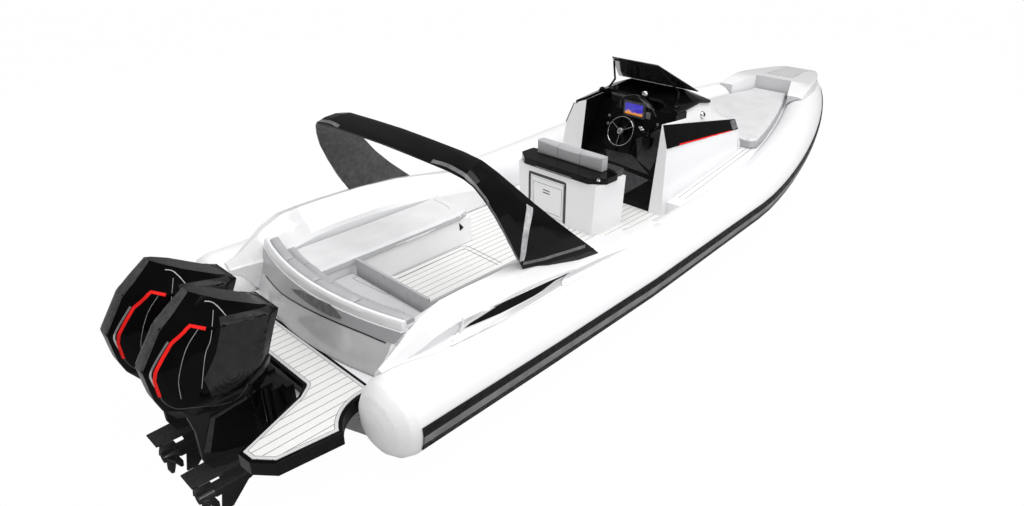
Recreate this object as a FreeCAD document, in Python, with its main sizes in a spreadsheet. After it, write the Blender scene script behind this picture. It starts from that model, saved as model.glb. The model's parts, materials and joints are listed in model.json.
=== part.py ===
import FreeCAD, Part
import math
import os

import Sketcher

# Inflatable boat with two outboard engines: rigid hull, tube collar, aft lounge, arch,
# helm seat, console, bow cushion and two steering, tilting outboards.
# Frame: +X toward the bow, +Y to port, +Z up, origin on the centreline at the waterline.
# Lengths are millimetres; every length comes from the sheet, tables hold shares of them.

os.makedirs("parts", exist_ok=True)
doc = FreeCAD.newDocument("boat")
sheet = doc.addObject("Spreadsheet::Sheet", "dimensions")
sheet.Label = "dimensions"

DIMENSIONS = (
    # tube collar
    ("tube_radius", 331), ("tube_radius_bow", 255), ("tube_half_spacing", 1421),
    ("tube_height", 431), ("tube_start", 112), ("tube_cap", 232), ("tube_straight_end", 5170),
    ("tube_tip", 9875), ("sheer_start", 2232), ("sheer_rise", 427), ("slope_step", 4),
    ("strake_high", 72), ("strake_low", 145), ("strake_proud", 12), ("fit_gap", 0.3),
    ("seat_gap", 6), ("crown_gap", 2.4), ("deck_level", 420),
    # hull
    ("transom_aft", 430), ("hull_keel_depth", 500), ("hull_chine_half", 1120),
    ("hull_chine_depth", 85), ("pod_half", 560), ("pod_chine", 20), ("pod_keel", 160),
    ("hull_stem", 9560), ("keel_rise_start", 4600), ("sole_height", 412), ("teak_thick", 8),
    ("foredeck_start", 4490), ("foredeck_step", 140), ("foredeck_crest", 6390),
    ("foredeck_rise", 335), ("foredeck_bow_rise", 450), ("foredeck_end", 9150),
    # towing eyes
    ("eye_radius", 12.5), ("eye_thick", 16), ("eye_reach", 27), ("bow_eye_x", 9190),
    ("bow_eye_height", 290), ("bow_eye_root", 160), ("stern_eye_half", 850),
    ("stern_eye_height", 50), ("stern_eye_reach", 45),
    # swim platform
    ("platform_thick", 130), ("platform_front", 20), ("platform_aft", 1123),
    ("platform_half", 1275), ("platform_tube_gap", 60), ("platform_margin", 30),
    # stern bulkhead and coamings
    ("bulkhead_foot", 50), ("bulkhead_sweep", 175), ("bulkhead_inset", 341),
    ("bulkhead_height", 420), ("bulkhead_lean", 130), ("bulkhead_thick", 90),
    ("rim_height", 90), ("rim_lean", 30), ("rim_width", 150),
    ("coaming_start", 80), ("coaming_end", 3480), ("coaming_crown", 645),
    ("coaming_inset", 501), ("coaming_lip", 40), ("backwall", 60),
    # lounge
    ("bench_front", 775), ("bench_height", 250), ("bench_starboard", 780),
    ("lip_thick", 30), ("lip_aft_height", 126), ("lip_side_height", 80), ("lip_end", 2150),
    ("backrest_aft", 350), ("backrest_height", 190), ("cushion_thick", 70), ("soft_gap", 0.5),
    ("port_seat_face", 330), ("port_seat_height", 310), ("port_seat_end", 2330),
    ("port_seat_overhang", 30), ("port_seat_round", 200),
    # arch
    ("arch_inset", 121), ("arch_foot_aft", 1460), ("arch_foot_front", 2400),
    ("arch_foot_height", 430), ("arch_top_aft", 985), ("arch_top_front", 1230),
    ("arch_top_height", 1622), ("arch_thick", 64),
    # helm seat
    ("seat_aft", 3360), ("seat_length", 500), ("seat_half_low", 600), ("seat_half_top", 625),
    ("seat_height", 610), ("seat_corner", 150), ("seat_wall", 30), ("tray_height", 75),
    ("tray_length", 330), ("tray_overhang", 20), ("tray_round", 30), ("seat_back_height", 170),
    ("seat_back_thick", 110), ("seat_back_half", 490), ("seat_pad_height", 90),
    ("door_half", 240), ("door_height", 440), ("door_thick", 22), ("door_raise", 40),
    ("door_gap", 7), ("door_centre", 120), ("hinge_radius", 9), ("hinge_pin", 4),
    ("hinge_length", 60), ("hinge_leaf", 2.5), ("hinge_inset", 50), ("hinge_clear", 0.3),
    # console
    ("console_aft", 4490), ("console_lean", 130), ("console_length", 1860),
    ("console_half", 830), ("console_height", 1200), ("helm_port", 480),
    ("helm_starboard", 650), ("helm_depth", 520), ("hood_aft", 4800), ("hood_thick", 35),
    ("hood_overhang", 25), ("panel_thick", 14), ("panel_aft_low", 811),
    ("panel_aft_high", 1071), ("panel_front_low", 628), ("panel_front_high", 741),
    ("dash_foot_reach", 640), ("dash_knee_reach", 570), ("dash_knee_height", 420),
    ("dash_shelf_reach", 410), ("dash_shelf_height", 560), ("dash_face_reach", 310),
    ("dash_face_height", 700), ("dash_brow_reach", 230), ("dash_brow_height", 1120),
    ("pod_radius", 310), ("pod_side", 70), ("pod_centre_height", 950), ("pod_reach", 245),
    ("display_width", 310), ("display_height", 190), ("display_thick", 30),
    ("display_low", 985), ("wheel_radius", 190), ("wheel_rim", 14), ("wheel_hub", 40),
    ("wheel_x", 4610), ("wheel_height", 815), ("wheel_side", 10), ("wheel_lean", 24),
    ("column_length", 240), ("spoke_thick", 16), ("throttle_side", 350),
    ("throttle_width", 110), ("throttle_length", 150), ("throttle_height", 100),
    ("throttle_low", 700), ("lever_height", 130), ("lever_thick", 16), ("lever_side", 34),
    ("screen_base_x", 5310), ("screen_base_half", 600), ("screen_top_x", 4770),
    ("screen_top_half", 335), ("screen_top_height", 1650), ("screen_thick", 14),
    ("strut_radius", 13), ("strut_foot_x", 4903), ("strut_foot_half", 560),
    ("strut_knee_run", 158), ("strut_knee_rise", 229), ("strut_knee_inset", 81),
    # bow
    ("sunpad_start", 6400), ("sunpad_end", 8740), ("sunpad_half", 1000),
    ("sunpad_thick", 130), ("bow_wing_start", 8300), ("bow_step_start", 8760),
    ("bow_step_height", 757), ("bow_step_end", 9750), ("bow_step_half", 700),
    ("bow_step_edge", 16), ("bow_step_gap", 3), ("bow_wing_drop", 110), ("bow_teak_start", 8940),
    ("bow_teak_end", 9640), ("bow_teak_half", 240),
    # outboards
    ("engine_half_spacing", 330), ("tilt_axis_x", 470), ("tilt_axis_height", 370),
    ("tilt_tube_radius", 26), ("tilt_tube_half", 190), ("steer_axis_x", 585),
    ("steer_axis_radius", 40), ("clamp_thick", 40), ("clamp_half", 150), ("clamp_drop", 330),
    ("clamp_width", 75), ("swivel_drop", 370), ("cowl_half", 252),
    ("cowl_length", 1000), ("cowl_height", 975), ("cowl_front", 440), ("cowl_base", 500),
    ("leg_front", 640), ("leg_length", 590), ("leg_half", 120), ("yoke_height", 30),
    ("plate_height", 130), ("plate_length", 706), ("plate_half", 120), ("plate_thick", 14),
    ("gear_length", 480), ("gear_radius", 62), ("shaft_height", 335), ("gear_aft", 1165),
    ("skeg_drop", 255), ("skeg_thick", 22), ("prop_radius", 190), ("prop_shaft_radius", 18),
    ("prop_hub_radius", 56), ("prop_hub_length", 130), ("prop_gap", 6),
    ("blade_thick", 9), ("blade_chord", 150), ("joint_gap", 6),
)
for row, (name, value) in enumerate(DIMENSIONS, 1):
    sheet.set("A%d" % row, name)
    sheet.set("B%d" % row, "%g" % value)
    sheet.setAlias("B%d" % row, name)
doc.recompute()


def d(name):
    return float(sheet.get(name))


V = FreeCAD.Vector
X, Y, Z = V(1, 0, 0), V(0, 1, 0), V(0, 0, 1)
deck = d("deck_level")
fit = d("fit_gap")
SIDES = (("port", 1), ("starboard", -1))
BOW_FULLNESS_SHARE, BOW_ROUND_SHARE = 1.472, 1.221
SHEER_POWER_SHARE, TAPER_POWER_SHARE = 1.285, 1.5
built = {}


def keep(label, shape):
    """A piece whose form is free: its shape is worked out here from the sheet."""
    item = doc.addObject("Part::Feature", label)
    item.Label = label
    item.Shape = shape
    built[label] = item
    return shape


def bound(kind, label, **rules):
    """A piece or tool whose sizes and place follow rules written in the sheet's names."""
    item = doc.addObject(kind, label)
    item.Label = label
    places = {"x": "Placement.Base.x", "y": "Placement.Base.y", "z": "Placement.Base.z"}
    for prop, rule in rules.items():
        item.setExpression(places.get(prop, prop), rule)
    return item


def block(label, x, y, z, length, width, height):
    return bound("Part::Box", label, x=x, y=y, z=z, Length=length, Width=width, Height=height)


def rod_along(label, axis, x, y, z, radius, height):
    """Bound cylinder along an axis through the point x, y, z."""
    item = bound("Part::Cylinder", label, x=x, y=y, z=z, Radius=radius, Height=height)
    item.Placement.Rotation = FreeCAD.Rotation(Z, axis)
    return item


def joined(label, *parts):
    item = doc.addObject("Part::MultiFuse", label)
    item.Label, item.Shapes = label, list(parts)
    return item


def less(label, base, tool):
    item = doc.addObject("Part::Cut", label)
    item.Label, item.Base, item.Tool = label, base, tool
    return item


def finished(label, item):
    """Takes a bound object as the piece of that name and returns its solid."""
    doc.recompute()
    built[label] = item
    return one_solid(item.Shape)


def mirror_image(label, source):
    item = doc.addObject("Part::Mirroring", label)
    item.Label, item.Source, item.Normal = label, built[source], Y
    built[label] = item


def outline_pad(label, corners, level, height, plane="XY_Plane"):
    """Body with one closed outline, each corner bound to the sheet, raised by height."""
    body = doc.addObject("PartDesign::Body", label)
    body.Label = label
    sketch = body.newObject("Sketcher::SketchObject", label + "_outline")
    base = next(f for f in body.Origin.OriginFeatures if f.Role == plane)
    sketch.AttachmentSupport = [(base, "")]
    sketch.MapMode = "FlatFace"
    sketch.setExpression("AttachmentOffset.Base.z", level)
    count, start = len(corners), d("tube_radius")
    turns = [2 * math.pi * k / count for k in range(count)]
    spots = [V(start * math.cos(t), start * math.sin(t), 0) for t in turns]
    for k in range(count):
        sketch.addGeometry(Part.LineSegment(spots[k], spots[(k + 1) % count]), False)
    for k in range(count):
        sketch.addConstraint(Sketcher.Constraint("Coincident", k, 2, (k + 1) % count, 1))
    for k, corner_rules in enumerate(corners):
        for kind, rule in zip(("DistanceX", "DistanceY"), corner_rules):
            spot = spots[k].x if kind == "DistanceX" else spots[k].y
            index = sketch.addConstraint(Sketcher.Constraint(kind, -1, 1, k, 1, spot))
            sketch.setExpression("Constraints[%d]" % index, rule)
    pad = body.newObject("PartDesign::Pad", label + "_pad")
    pad.Profile = sketch
    pad.setExpression("Length", height)
    doc.recompute()
    return body


def wire(points):
    ring = [V(*p) for p in points]
    return Part.makePolygon(ring + ring[:1])


def prism(points, vector):
    return Part.Face(wire(points)).extrude(vector)


def skin(rings, ruled=True):
    return Part.makeLoft([wire(r) for r in rings], True, ruled)


def box(x0, x1, y0, y1, z0, z1):
    return Part.makeBox(x1 - x0, y1 - y0, z1 - z0, V(x0, y0, z0))


def mirrored(shape):
    return shape.mirror(V(), Y)


def one_solid(shape):
    return max(shape.Solids, key=lambda s: s.Volume)


def trimmed(shape, *tools):
    for tool in tools:
        shape = one_solid(shape.cut(tool))
    return shape


def table(shares, x):
    if x <= shares[0][0]:
        return shares[0][1]
    for (a, va), (b, vb) in zip(shares, shares[1:]):
        if x <= b:
            return va + (vb - va) * (x - a) / (b - a)
    return shares[-1][1]


def tube_axis(x):
    start, tip = d("tube_straight_end"), d("tube_tip")
    y = d("tube_half_spacing")
    if x > start:
        rise = min(1.0, (x - start) / (tip - start)) ** (BOW_FULLNESS_SHARE / 2)
        y *= math.sqrt(max(0.0, 1 - rise * rise)) ** (2 / BOW_ROUND_SHARE)
    run = min(1.0, max(0.0, (x - d("sheer_start")) / (tip - d("sheer_start"))))
    z = d("tube_height") + d("sheer_rise") * run ** SHEER_POWER_SHARE
    r = d("tube_radius") + (d("tube_radius_bow") - d("tube_radius")) * run ** TAPER_POWER_SHARE
    return V(x, y, z), r


def tube_slope(x):
    step = d("slope_step")
    (p, _), (q, _) = tube_axis(x - step), tube_axis(x + step)
    return math.atan2(p.y - q.y, q.x - p.x)


# tube collar and rub strake

RING = 16
TUBE_STATION_SHARES = (0, 0.15, 0.3, 0.45, 0.5235, 0.55, 0.58, 0.61, 0.64, 0.67, 0.70, 0.73, 0.76,
                       0.79, 0.82, 0.85, 0.88, 0.91, 0.94, 0.965, 0.98)
END_CAP_SHARES = (1.49, 1.3, 1.05, 0.75, 0.4)
BOW_TURN_SHARES = (0.2, 0.4, 0.6, 0.8, 1.0)
frames = []
tube_start = -d("tube_start")
centre, radius = tube_axis(tube_start)
for turn in END_CAP_SHARES:
    small = radius * math.cos(turn)
    frames.append((centre - X * (d("tube_cap") * math.sin(turn)), small, X, small))
for share in TUBE_STATION_SHARES:
    x = tube_start + share * (d("tube_tip") - tube_start)
    centre, radius = tube_axis(x)
    heading = tube_slope(x)
    frames.append((centre, radius, V(math.cos(heading), -math.sin(heading), 0), radius))
centre, radius, _, _ = frames[-1]
turn_radius = centre.y / math.cos(heading)
for share in BOW_TURN_SHARES:
    angle = heading + (math.pi / 2 - heading) * share
    spot = V(centre.x + turn_radius * (math.sin(angle) - math.sin(heading)),
             turn_radius * math.cos(angle), centre.z + turn_radius * share * 0.04)
    along = V(math.cos(angle), -math.sin(angle), 0)
    frames.append((spot, radius, along, radius + (turn_radius * 0.8 - radius) * min(1, 2 * share)))


def ring_curve(points):
    curve = Part.BSplineCurve()
    curve.interpolate(points, PeriodicFlag=True)
    return Part.Wire(curve.toShape())


def tube_at(x):
    """Centre, radius and heading of the port tube at x, straight between its frames."""
    for (p, rp, _, _), (q, rq, _, _) in zip(frames, frames[1:]):
        if x <= q.x:
            run = max(0.0, (x - p.x) / (q.x - p.x))
            return p + (q - p) * run, rp + (rq - rp) * run, math.atan2(p.y - q.y, q.x - p.x)
    raise RuntimeError("no tube at x = %g" % x)


def sweep_rings(profile):
    return [profile(*frame) for frame in frames]


def tube_profile(centre, radius, along, inside):
    out = Z.cross(along)
    ring = []
    for k in range(RING):
        turn = 2 * math.pi * k / RING
        wide = radius if math.cos(turn) > 0 else inside
        ring.append(centre + out * (wide * math.cos(turn)) + Z * (radius * math.sin(turn)))
    return ring


STRAKE_SHARES = (0.0, 0.33, 0.67, 1.0)


def strake_profile(centre, radius, along, inside):
    out = Z.cross(along)
    scale = radius / d("tube_radius")
    inner, outer = [], []
    step = (d("strake_high") + d("strake_low")) / (len(STRAKE_SHARES) - 1) / d("tube_radius")
    clear = (radius + fit) / math.cos(step / 2)
    for share in STRAKE_SHARES:
        rise = (d("strake_high") * share - d("strake_low") * (1 - share)) * scale
        reach_out = math.sqrt(clear * clear - rise * rise)
        bulge = d("strake_proud")
        inner.append(centre + out * reach_out + Z * rise)
        outer.append(centre + out * (reach_out + bulge) + Z * rise)
    return outer + inner[::-1]


reach = d("tube_tip") * 1.2
tube_port = Part.makeLoft([ring_curve(r) for r in sweep_rings(tube_profile)], True, True)
tube_port = one_solid(tube_port.cut(box(0, reach, -reach, fit / 2, -reach, reach)))
keep("tube_port", one_solid(tube_port))
mirror_image("tube_starboard", "tube_port")
strake_rings = sweep_rings(strake_profile)[len(END_CAP_SHARES):]
strake = one_solid(skin([[tuple(p) for p in ring] for ring in strake_rings]))
strake = one_solid(strake.cut(box(0, reach, -reach, fit / 2, -reach, reach)))
keep("rub_strake_port", strake)
mirror_image("rub_strake_starboard", "rub_strake_port")

# rigid hull, solid below the sole

teak = d("teak_thick")
sole = d("sole_height")


def deck_height(x):
    steps = ((d("foredeck_start"), d("foredeck_step")), (d("foredeck_crest"), d("foredeck_rise")),
             (d("foredeck_end"), d("foredeck_bow_rise")))
    return deck + table(steps, x)


def hull_top(x):
    run = (x - d("foredeck_start")) / (d("foredeck_crest") - d("foredeck_start"))
    return sole + (tube_axis(x)[0].z - d("tube_height")) * min(1.0, max(0.0, run))


def tube_seat(x, z_low, z_high, count):
    """Points just clear of the inner side of the port tube, from z_low up to z_high."""
    centre, radius, slope = tube_at(max(0, x))
    step = (math.asin(min(0.95, (z_high - centre.z) / radius)) -
            math.asin(max(-0.95, (z_low - centre.z) / radius))) / (count - 1)
    clear = (radius + d("seat_gap")) / math.cos(step / 2)
    low = math.asin(max(-0.95, (z_low - centre.z) / clear))
    high = math.asin(min(0.95, (z_high - centre.z) / clear))
    wide = clear / math.cos(slope)
    keel_half = radius * 0.05
    if centre.y - wide < keel_half:
        high = min(high, -math.acos((centre.y - keel_half) / wide))
    angles = [low + (high - low) * k / (count - 1) for k in range(count)]
    return [(x, centre.y - wide * math.cos(a), centre.z + clear * math.sin(a)) for a in angles]


def hull_ring(x):
    centre, radius = tube_axis(max(0, x))
    run = min(1.0, max(0.0, (x - d("keel_rise_start")) / (d("hull_stem") - d("keel_rise_start"))))
    keel = -d("hull_keel_depth") + run ** 2.6 * (centre.z + d("hull_keel_depth") - radius * 0.98)
    chine = -d("hull_chine_depth") + run ** 1.8 * (centre.z + d("hull_chine_depth") - radius * 0.95)
    wide = max(d("hull_chine_half") * centre.y / d("tube_half_spacing"), radius * 0.06)
    side = tube_seat(x, centre.z - radius * 0.93, hull_top(x), 6)
    wide = min(wide, side[0][1] * 1.02)
    half = [(x, wide, chine)] + side
    return [(x, 0, keel)] + half + [(px, -py, pz) for px, py, pz in reversed(half)]


def stations(start, end, least):
    """The tube's own frames between start and end, at least that far from them, with both."""
    return [start] + [f[0].x for f in frames if start + least < f[0].x < end - least] + [end]


hull_aft = -d("platform_front")
hull_xs = set(stations(hull_aft, d("hull_stem"), teak)) | {d("foredeck_start")}
main_hull = skin([hull_ring(x) for x in sorted(hull_xs)])
platform_low = deck - d("platform_thick")
deck_end = d("foredeck_end")
end_centre, end_radius, _ = tube_at(deck_end)
STEM_NOTCH_SHARE = 0.6
main_hull = main_hull.cut(box(deck_end, reach, -reach, reach, end_centre.z - end_radius * STEM_NOTCH_SHARE,
                              reach))


def pod_ring(x, half, chine, keel):
    return [(x, half, platform_low), (x, half, -chine), (x, 0, -keel), (x, -half, -chine),
            (x, -half, platform_low)]


POD_KEEL_SHARE = 0.8
pod = skin([pod_ring(-d("transom_aft"), d("pod_half"), d("pod_chine"), d("pod_keel")),
            pod_ring(hull_aft, d("pod_half"), d("hull_chine_depth"), d("hull_keel_depth") * POD_KEEL_SHARE)])
hull = one_solid(main_hull.fuse(pod))
keep("hull", hull)

# towing eyes: one on the stem, two on the hull's aft face; upright plates with one bore


def eye(label, x, y, z, root):
    """Rounded plate bored across at the point x, y, z, its foot starting at root."""
    side = "%s - dimensions.eye_thick / 2" % y
    nose = rod_along(label + "_nose", Y, x, side, z, "dimensions.eye_reach", "dimensions.eye_thick")
    foot = block(label + "_foot", root[0], side, z + " - dimensions.eye_reach", root[1], "dimensions.eye_thick",
                 "2 * dimensions.eye_reach")
    bore = rod_along(label + "_bore", Y, x, side, z, "dimensions.eye_radius", "dimensions.eye_thick")
    return less(label, joined(label + "_plate", nose, foot), bore)


doc.recompute()
bow_plate = eye("bow_eye_blank", "dimensions.bow_eye_x", "0 * dimensions.eye_thick", "dimensions.bow_eye_height",
                ("dimensions.bow_eye_x - dimensions.bow_eye_root", "dimensions.bow_eye_root"))
doc.recompute()
keep("bow_eye", one_solid(bow_plate.Shape.cut(hull)))
for name, side in SIDES:
    label = "stern_eye_" + name
    finished(label, eye(label, "-dimensions.platform_front - dimensions.stern_eye_reach",
                        "%d * dimensions.stern_eye_half" % side, "dimensions.stern_eye_height",
                        ("-dimensions.platform_front - dimensions.stern_eye_reach", "dimensions.stern_eye_reach")))


def deck_ring(x):
    low = hull_top(x)
    high = max(low + teak, deck_height(x))
    seat = tube_seat(x, low, high, 4)
    return seat + [(px, -py, pz) for px, py, pz in reversed(seat)]


foredeck = skin([deck_ring(x) for x in stations(d("foredeck_start"), deck_end, teak)])
foredeck = one_solid(foredeck.cut(hull))
keep("foredeck", foredeck)

# swim platform around the outboards: an outline raised and scooped out round each tube end

# outline from the tube's end aft and round the engine well, shares of platform_aft and platform_half
PLATFORM_SHARES = ((0.0997, 1.0), (0.408, 1.0), (0.876, 0.948), (0.988, 0.834), (1.0, 0.722),
                   (0.441, 0.529), (0.356, 0.471), (0.343, 0.455))
tube_side = "(dimensions.tube_half_spacing - dimensions.tube_radius - dimensions.platform_tube_gap)"
outline = [("-dimensions.platform_front", tube_side), ("-dimensions.platform_aft * 0.0997", tube_side)]
outline += [("-dimensions.platform_aft * %g" % ax, "dimensions.platform_half * %g" % ay)
            for ax, ay in PLATFORM_SHARES]
outline += [(ax, "-(%s)" % ay) for ax, ay in reversed(outline)]
platform = outline_pad("swim_platform_blank", outline, "dimensions.deck_level - dimensions.platform_thick",
                       "dimensions.platform_thick - dimensions.teak_thick")
scoops = [rod_along("scoop_" + name, Z, "-dimensions.tube_start", "%d * dimensions.tube_half_spacing" % side,
                    "0 * dimensions.fit_gap", "dimensions.tube_radius + dimensions.platform_tube_gap",
                    "2 * dimensions.deck_level")
          for name, side in SIDES]
finished("swim_platform", less("swim_platform", platform, joined("scoops", *scoops)))
top_face = max((f for f in built["swim_platform"].Shape.Faces
                if abs(f.CenterOfMass.z - (deck - teak)) < fit), key=lambda f: f.Area)
teak_edge = top_face.OuterWire.makeOffset2D(-d("platform_margin"))
keep("platform_teak", Part.Face(teak_edge).extrude(V(0, 0, teak)))

# curved stern bulkhead with its white rim

BULKHEAD_SIDE_SHARES = (-1.0, -0.8, -0.6, -0.4, -0.2, 0, 0.2, 0.4, 0.6, 0.8, 1.0)
bulkhead_half = d("tube_half_spacing") - d("bulkhead_inset")


def stern_arc(offset, height):
    return [(offset - d("bulkhead_foot") + d("bulkhead_sweep") * s * s, s * bulkhead_half, height)
            for s in BULKHEAD_SIDE_SHARES]


def band(offset_low, z_low, offset_high, z_high, thick):
    low = stern_arc(offset_low, z_low) + list(reversed(stern_arc(offset_low + thick, z_low)))
    high = stern_arc(offset_high, z_high) + list(reversed(stern_arc(offset_high + thick, z_high)))
    return skin([low, high])


lean = d("bulkhead_lean")
bulk_top = deck + d("bulkhead_height")
bulkhead = band(0, deck, lean, bulk_top, d("bulkhead_thick"))
keep("stern_bulkhead", one_solid(bulkhead))
rim = band(lean, bulk_top, lean + d("rim_lean"), bulk_top + d("rim_height"), d("rim_width"))

def tube_over(x, y):
    """Height of the upper side of the tube over the point x, y, or zero beside the tube."""
    height, spot = 0, V(x, abs(y), 0)
    for (p, rp, _, _), (q, rq, _, _) in zip(frames, frames[1:]):
        span = V(q.x - p.x, q.y - p.y, 0)
        run = min(1.0, max(0.0, (spot - V(p.x, p.y, 0)).dot(span) / span.dot(span)))
        centre, radius = p + (q - p) * run, rp + (rq - rp) * run
        across = math.hypot(spot.x - centre.x, spot.y - centre.y)
        if across < radius:
            height = max(height, centre.z + math.sqrt(radius * radius - across * across))
    return height


def tube_crown(x, y_from, y_to, count):
    """Points just clear of the upper side of the port tube, from y_from to y_to."""
    centre, radius, _ = tube_at(x)
    start, end = (math.asin((y - centre.y) / radius) for y in (y_from, y_to))
    clear = (radius + d("crown_gap")) / math.cos((end - start) / (count - 1) / 2)
    angles = [start + (end - start) * k / (count - 1) for k in range(count)]
    return [(x, centre.y + clear * math.sin(a), centre.z + clear * math.cos(a)) for a in angles]

# coaming along its run: crown height, lip height, inner edge height, foot reach, inner edge reach,
# lip undercut; heights are shares of the crown, reaches of the tube radius, undercut of the lip
COAMING_SHARES = (
    (0.00, 0.49, 0.46, 0.42, -0.50, 0.80, 0.0), (0.03, 0.56, 0.48, 0.44, -0.46, 0.92, 0.0),
    (0.06, 0.66, 0.53, 0.47, -0.32, 1.10, 0.0), (0.09, 0.76, 0.61, 0.51, -0.16, 1.36, 0.5),
    (0.12, 0.86, 0.71, 0.54, -0.05, 1.47, 1.0), (0.18, 0.985, 0.785, 0.62, 0.02, 1.51, 1.0),
    (0.24, 1.00, 0.785, 0.67, 0.06, 1.51, 1.0), (0.32, 1.00, 0.765, 0.69, 0.11, 1.51, 1.0),
    (0.45, 0.99, 0.72, 0.68, 0.12, 1.51, 1.0), (0.59, 0.92, 0.665, 0.62, 0.14, 1.51, 1.0),
    (0.70, 0.80, 0.65, 0.54, 0.20, 1.51, 0.5), (0.80, 0.69, 0.60, 0.46, 0.24, 1.51, 0.0),
    (0.90, 0.61, 0.57, 0.36, 0.16, 1.51, 0.0), (1.0, 0.565, 0.55, 0.30, 0.08, 1.51, 0.0))
COAMING_COLUMNS = {name: [(row[0], row[k]) for row in COAMING_SHARES] for k, name in
                   enumerate(("run", "crown", "lip", "inner", "foot", "wall", "undercut"))}


def coaming_ring(x):
    share = (x + d("coaming_start")) / (d("coaming_start") + d("coaming_end"))
    at = {name: table(column, share) for name, column in COAMING_COLUMNS.items()}
    centre, radius, _ = tube_at(x)
    foot = d("tube_half_spacing") + at["foot"] * radius
    wall = d("tube_half_spacing") - at["wall"] * radius
    floor = sole + teak + fit
    beside = d("tube_half_spacing") - radius - d("seat_gap")
    under_end = wall + (foot - wall) * 0.42
    under = tube_crown(x, foot, under_end, 8)
    least = tube_over(x, (foot + wall) / 2) + teak
    crown = max(deck + d("coaming_crown") * at["crown"], least + 2 * teak)
    lip = max(deck + d("coaming_crown") * at["lip"], under[0][2] + teak)
    inner = deck + d("coaming_crown") * at["inner"]
    if wall < beside:
        back = min(wall + d("backwall"), beside)
        tail = [(x, back, min(under[-1][2], inner - 4 * teak)), (x, back, floor)]
    else:
        tail = tube_crown(x, (under_end + wall) / 2, wall + teak, 2)
        floor = tail[-1][2] + teak / 2
    cut_in = d("coaming_lip") * at["undercut"]
    half_up = (crown + inner) / 2
    span = foot - wall
    outer = [(x, wall, floor), (x, wall, inner - 2 * teak), (x, wall + span * 0.14, inner),
             (x, wall + span * 0.33, half_up), (x, wall + span * 0.54, crown),
             (x, wall + span * 0.76, crown * 0.8 + lip * 0.2), (x, wall + span * 0.92, lip),
             (x, wall + span * 0.92 - cut_in, lip * 0.7 + under[0][2] * 0.3),
             (x, wall + span * 0.94 - cut_in, lip * 0.25 + under[0][2] * 0.75 + teak / 2),
             (x, foot, under[0][2] + teak / 2)]
    return outer + under + tail


SKIRT_START_SHARE = 0.045
coaming_xs = {-d("coaming_start") + row[0] * (d("coaming_start") + d("coaming_end"))
              for row in COAMING_SHARES + ((SKIRT_START_SHARE,),)}
coaming_xs |= set(stations(d("sheer_start"), d("coaming_end"), d("backwall"))[1:-1])
coaming = one_solid(skin([coaming_ring(x) for x in sorted(coaming_xs)]).cut(bulkhead))
keep("coaming_port", coaming)
mirror_image("coaming_starboard", "coaming_port")
coamings = Part.makeCompound([coaming, mirrored(coaming)])
rim = one_solid(rim.cut(coamings))
keep("stern_rim", rim)

# aft lounge: bench, starboard ledge, port seat

bench_top = deck + d("bench_height")
cushion = d("cushion_thick")
gap = d("soft_gap")
bench_front = d("bench_front")
inner = d("tube_half_spacing") - d("coaming_inset")
inner_rule = "(dimensions.tube_half_spacing - dimensions.coaming_inset)"
bench = box(-d("bulkhead_foot"), bench_front, -inner, inner, deck, bench_top - cushion - gap)
ledge = box(bench_front, d("lip_end"), -inner, -d("bench_starboard") - gap, deck, bench_top)
port_face = d("port_seat_face")
port_top = deck + d("port_seat_height")
port_seat = box(-d("bulkhead_foot"), d("port_seat_end"), port_face, inner, deck, port_top)
bench = bench.fuse([ledge, port_seat]).removeSplitter()
rear_limit = 2 * bench_front
behind = skin([[(p[0], p[1], z) for p in stern_arc(o + d("bulkhead_thick"), z)] +
               [(rear_limit, bulkhead_half, z), (rear_limit, -bulkhead_half, z)]
               for o, z in ((0, deck), (lean, bulk_top))])
clear_front = box(bench_front / 2, reach, -reach, reach, 0, reach)
bench_low = one_solid(bench.common(behind.fuse(clear_front)).cut(coamings))
keep("lounge_base", bench_low)

finished("aft_seat_cushion", block(
    "aft_seat_cushion", "dimensions.backrest_aft", "-%s + dimensions.soft_gap" % inner_rule,
    "dimensions.deck_level + dimensions.bench_height - dimensions.cushion_thick",
    "dimensions.bench_front - dimensions.soft_gap - dimensions.backrest_aft",
    "%s + dimensions.port_seat_face - 2 * dimensions.soft_gap" % inner_rule, "dimensions.cushion_thick"))
seat_edge = "dimensions.port_seat_face - dimensions.port_seat_overhang"
seat_reach = "dimensions.port_seat_end + dimensions.port_seat_overhang"
CORNER_CUT_SHARE = 0.29
corner_cut = "dimensions.port_seat_round * %g" % CORNER_CUT_SHARE
port_pad = outline_pad("port_seat_cushion", [
    ("dimensions.backrest_aft", seat_edge), (seat_reach + " - dimensions.port_seat_round", seat_edge),
    (seat_reach + " - " + corner_cut, seat_edge + " + " + corner_cut),
    (seat_reach, seat_edge + " + dimensions.port_seat_round"),
    (seat_reach, inner_rule + " - dimensions.soft_gap"),
    ("dimensions.backrest_aft", inner_rule + " - dimensions.soft_gap")],
    "dimensions.deck_level + dimensions.port_seat_height + dimensions.soft_gap", "dimensions.cushion_thick")
port_pad = finished("port_seat_cushion", port_pad)
lip_aft = block("lip_aft", "dimensions.bench_front", "-dimensions.bench_starboard", "dimensions.deck_level",
                "dimensions.lip_thick", "dimensions.bench_starboard + %s - dimensions.soft_gap" % seat_edge,
                "dimensions.bench_height + dimensions.lip_aft_height")
lip_side = block("lip_side", "dimensions.bench_front", "-dimensions.bench_starboard", "dimensions.deck_level",
                 "dimensions.lip_end - dimensions.bench_front", "dimensions.lip_thick",
                 "dimensions.bench_height + dimensions.lip_side_height")
finished("seat_surround", joined("seat_surround", lip_aft, lip_side))
top_z = bench_top + d("backrest_height")
rear_arc = [p for p in stern_arc(lean + d("rim_lean") + d("rim_width") + gap, bench_top + gap)
            if abs(p[1]) < inner]


def back_ring(z, thick):
    rear = [(p[0], p[1], z) for p in rear_arc]
    return rear + [(p[0] + thick, p[1], z) for p in reversed(rear)]


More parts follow.
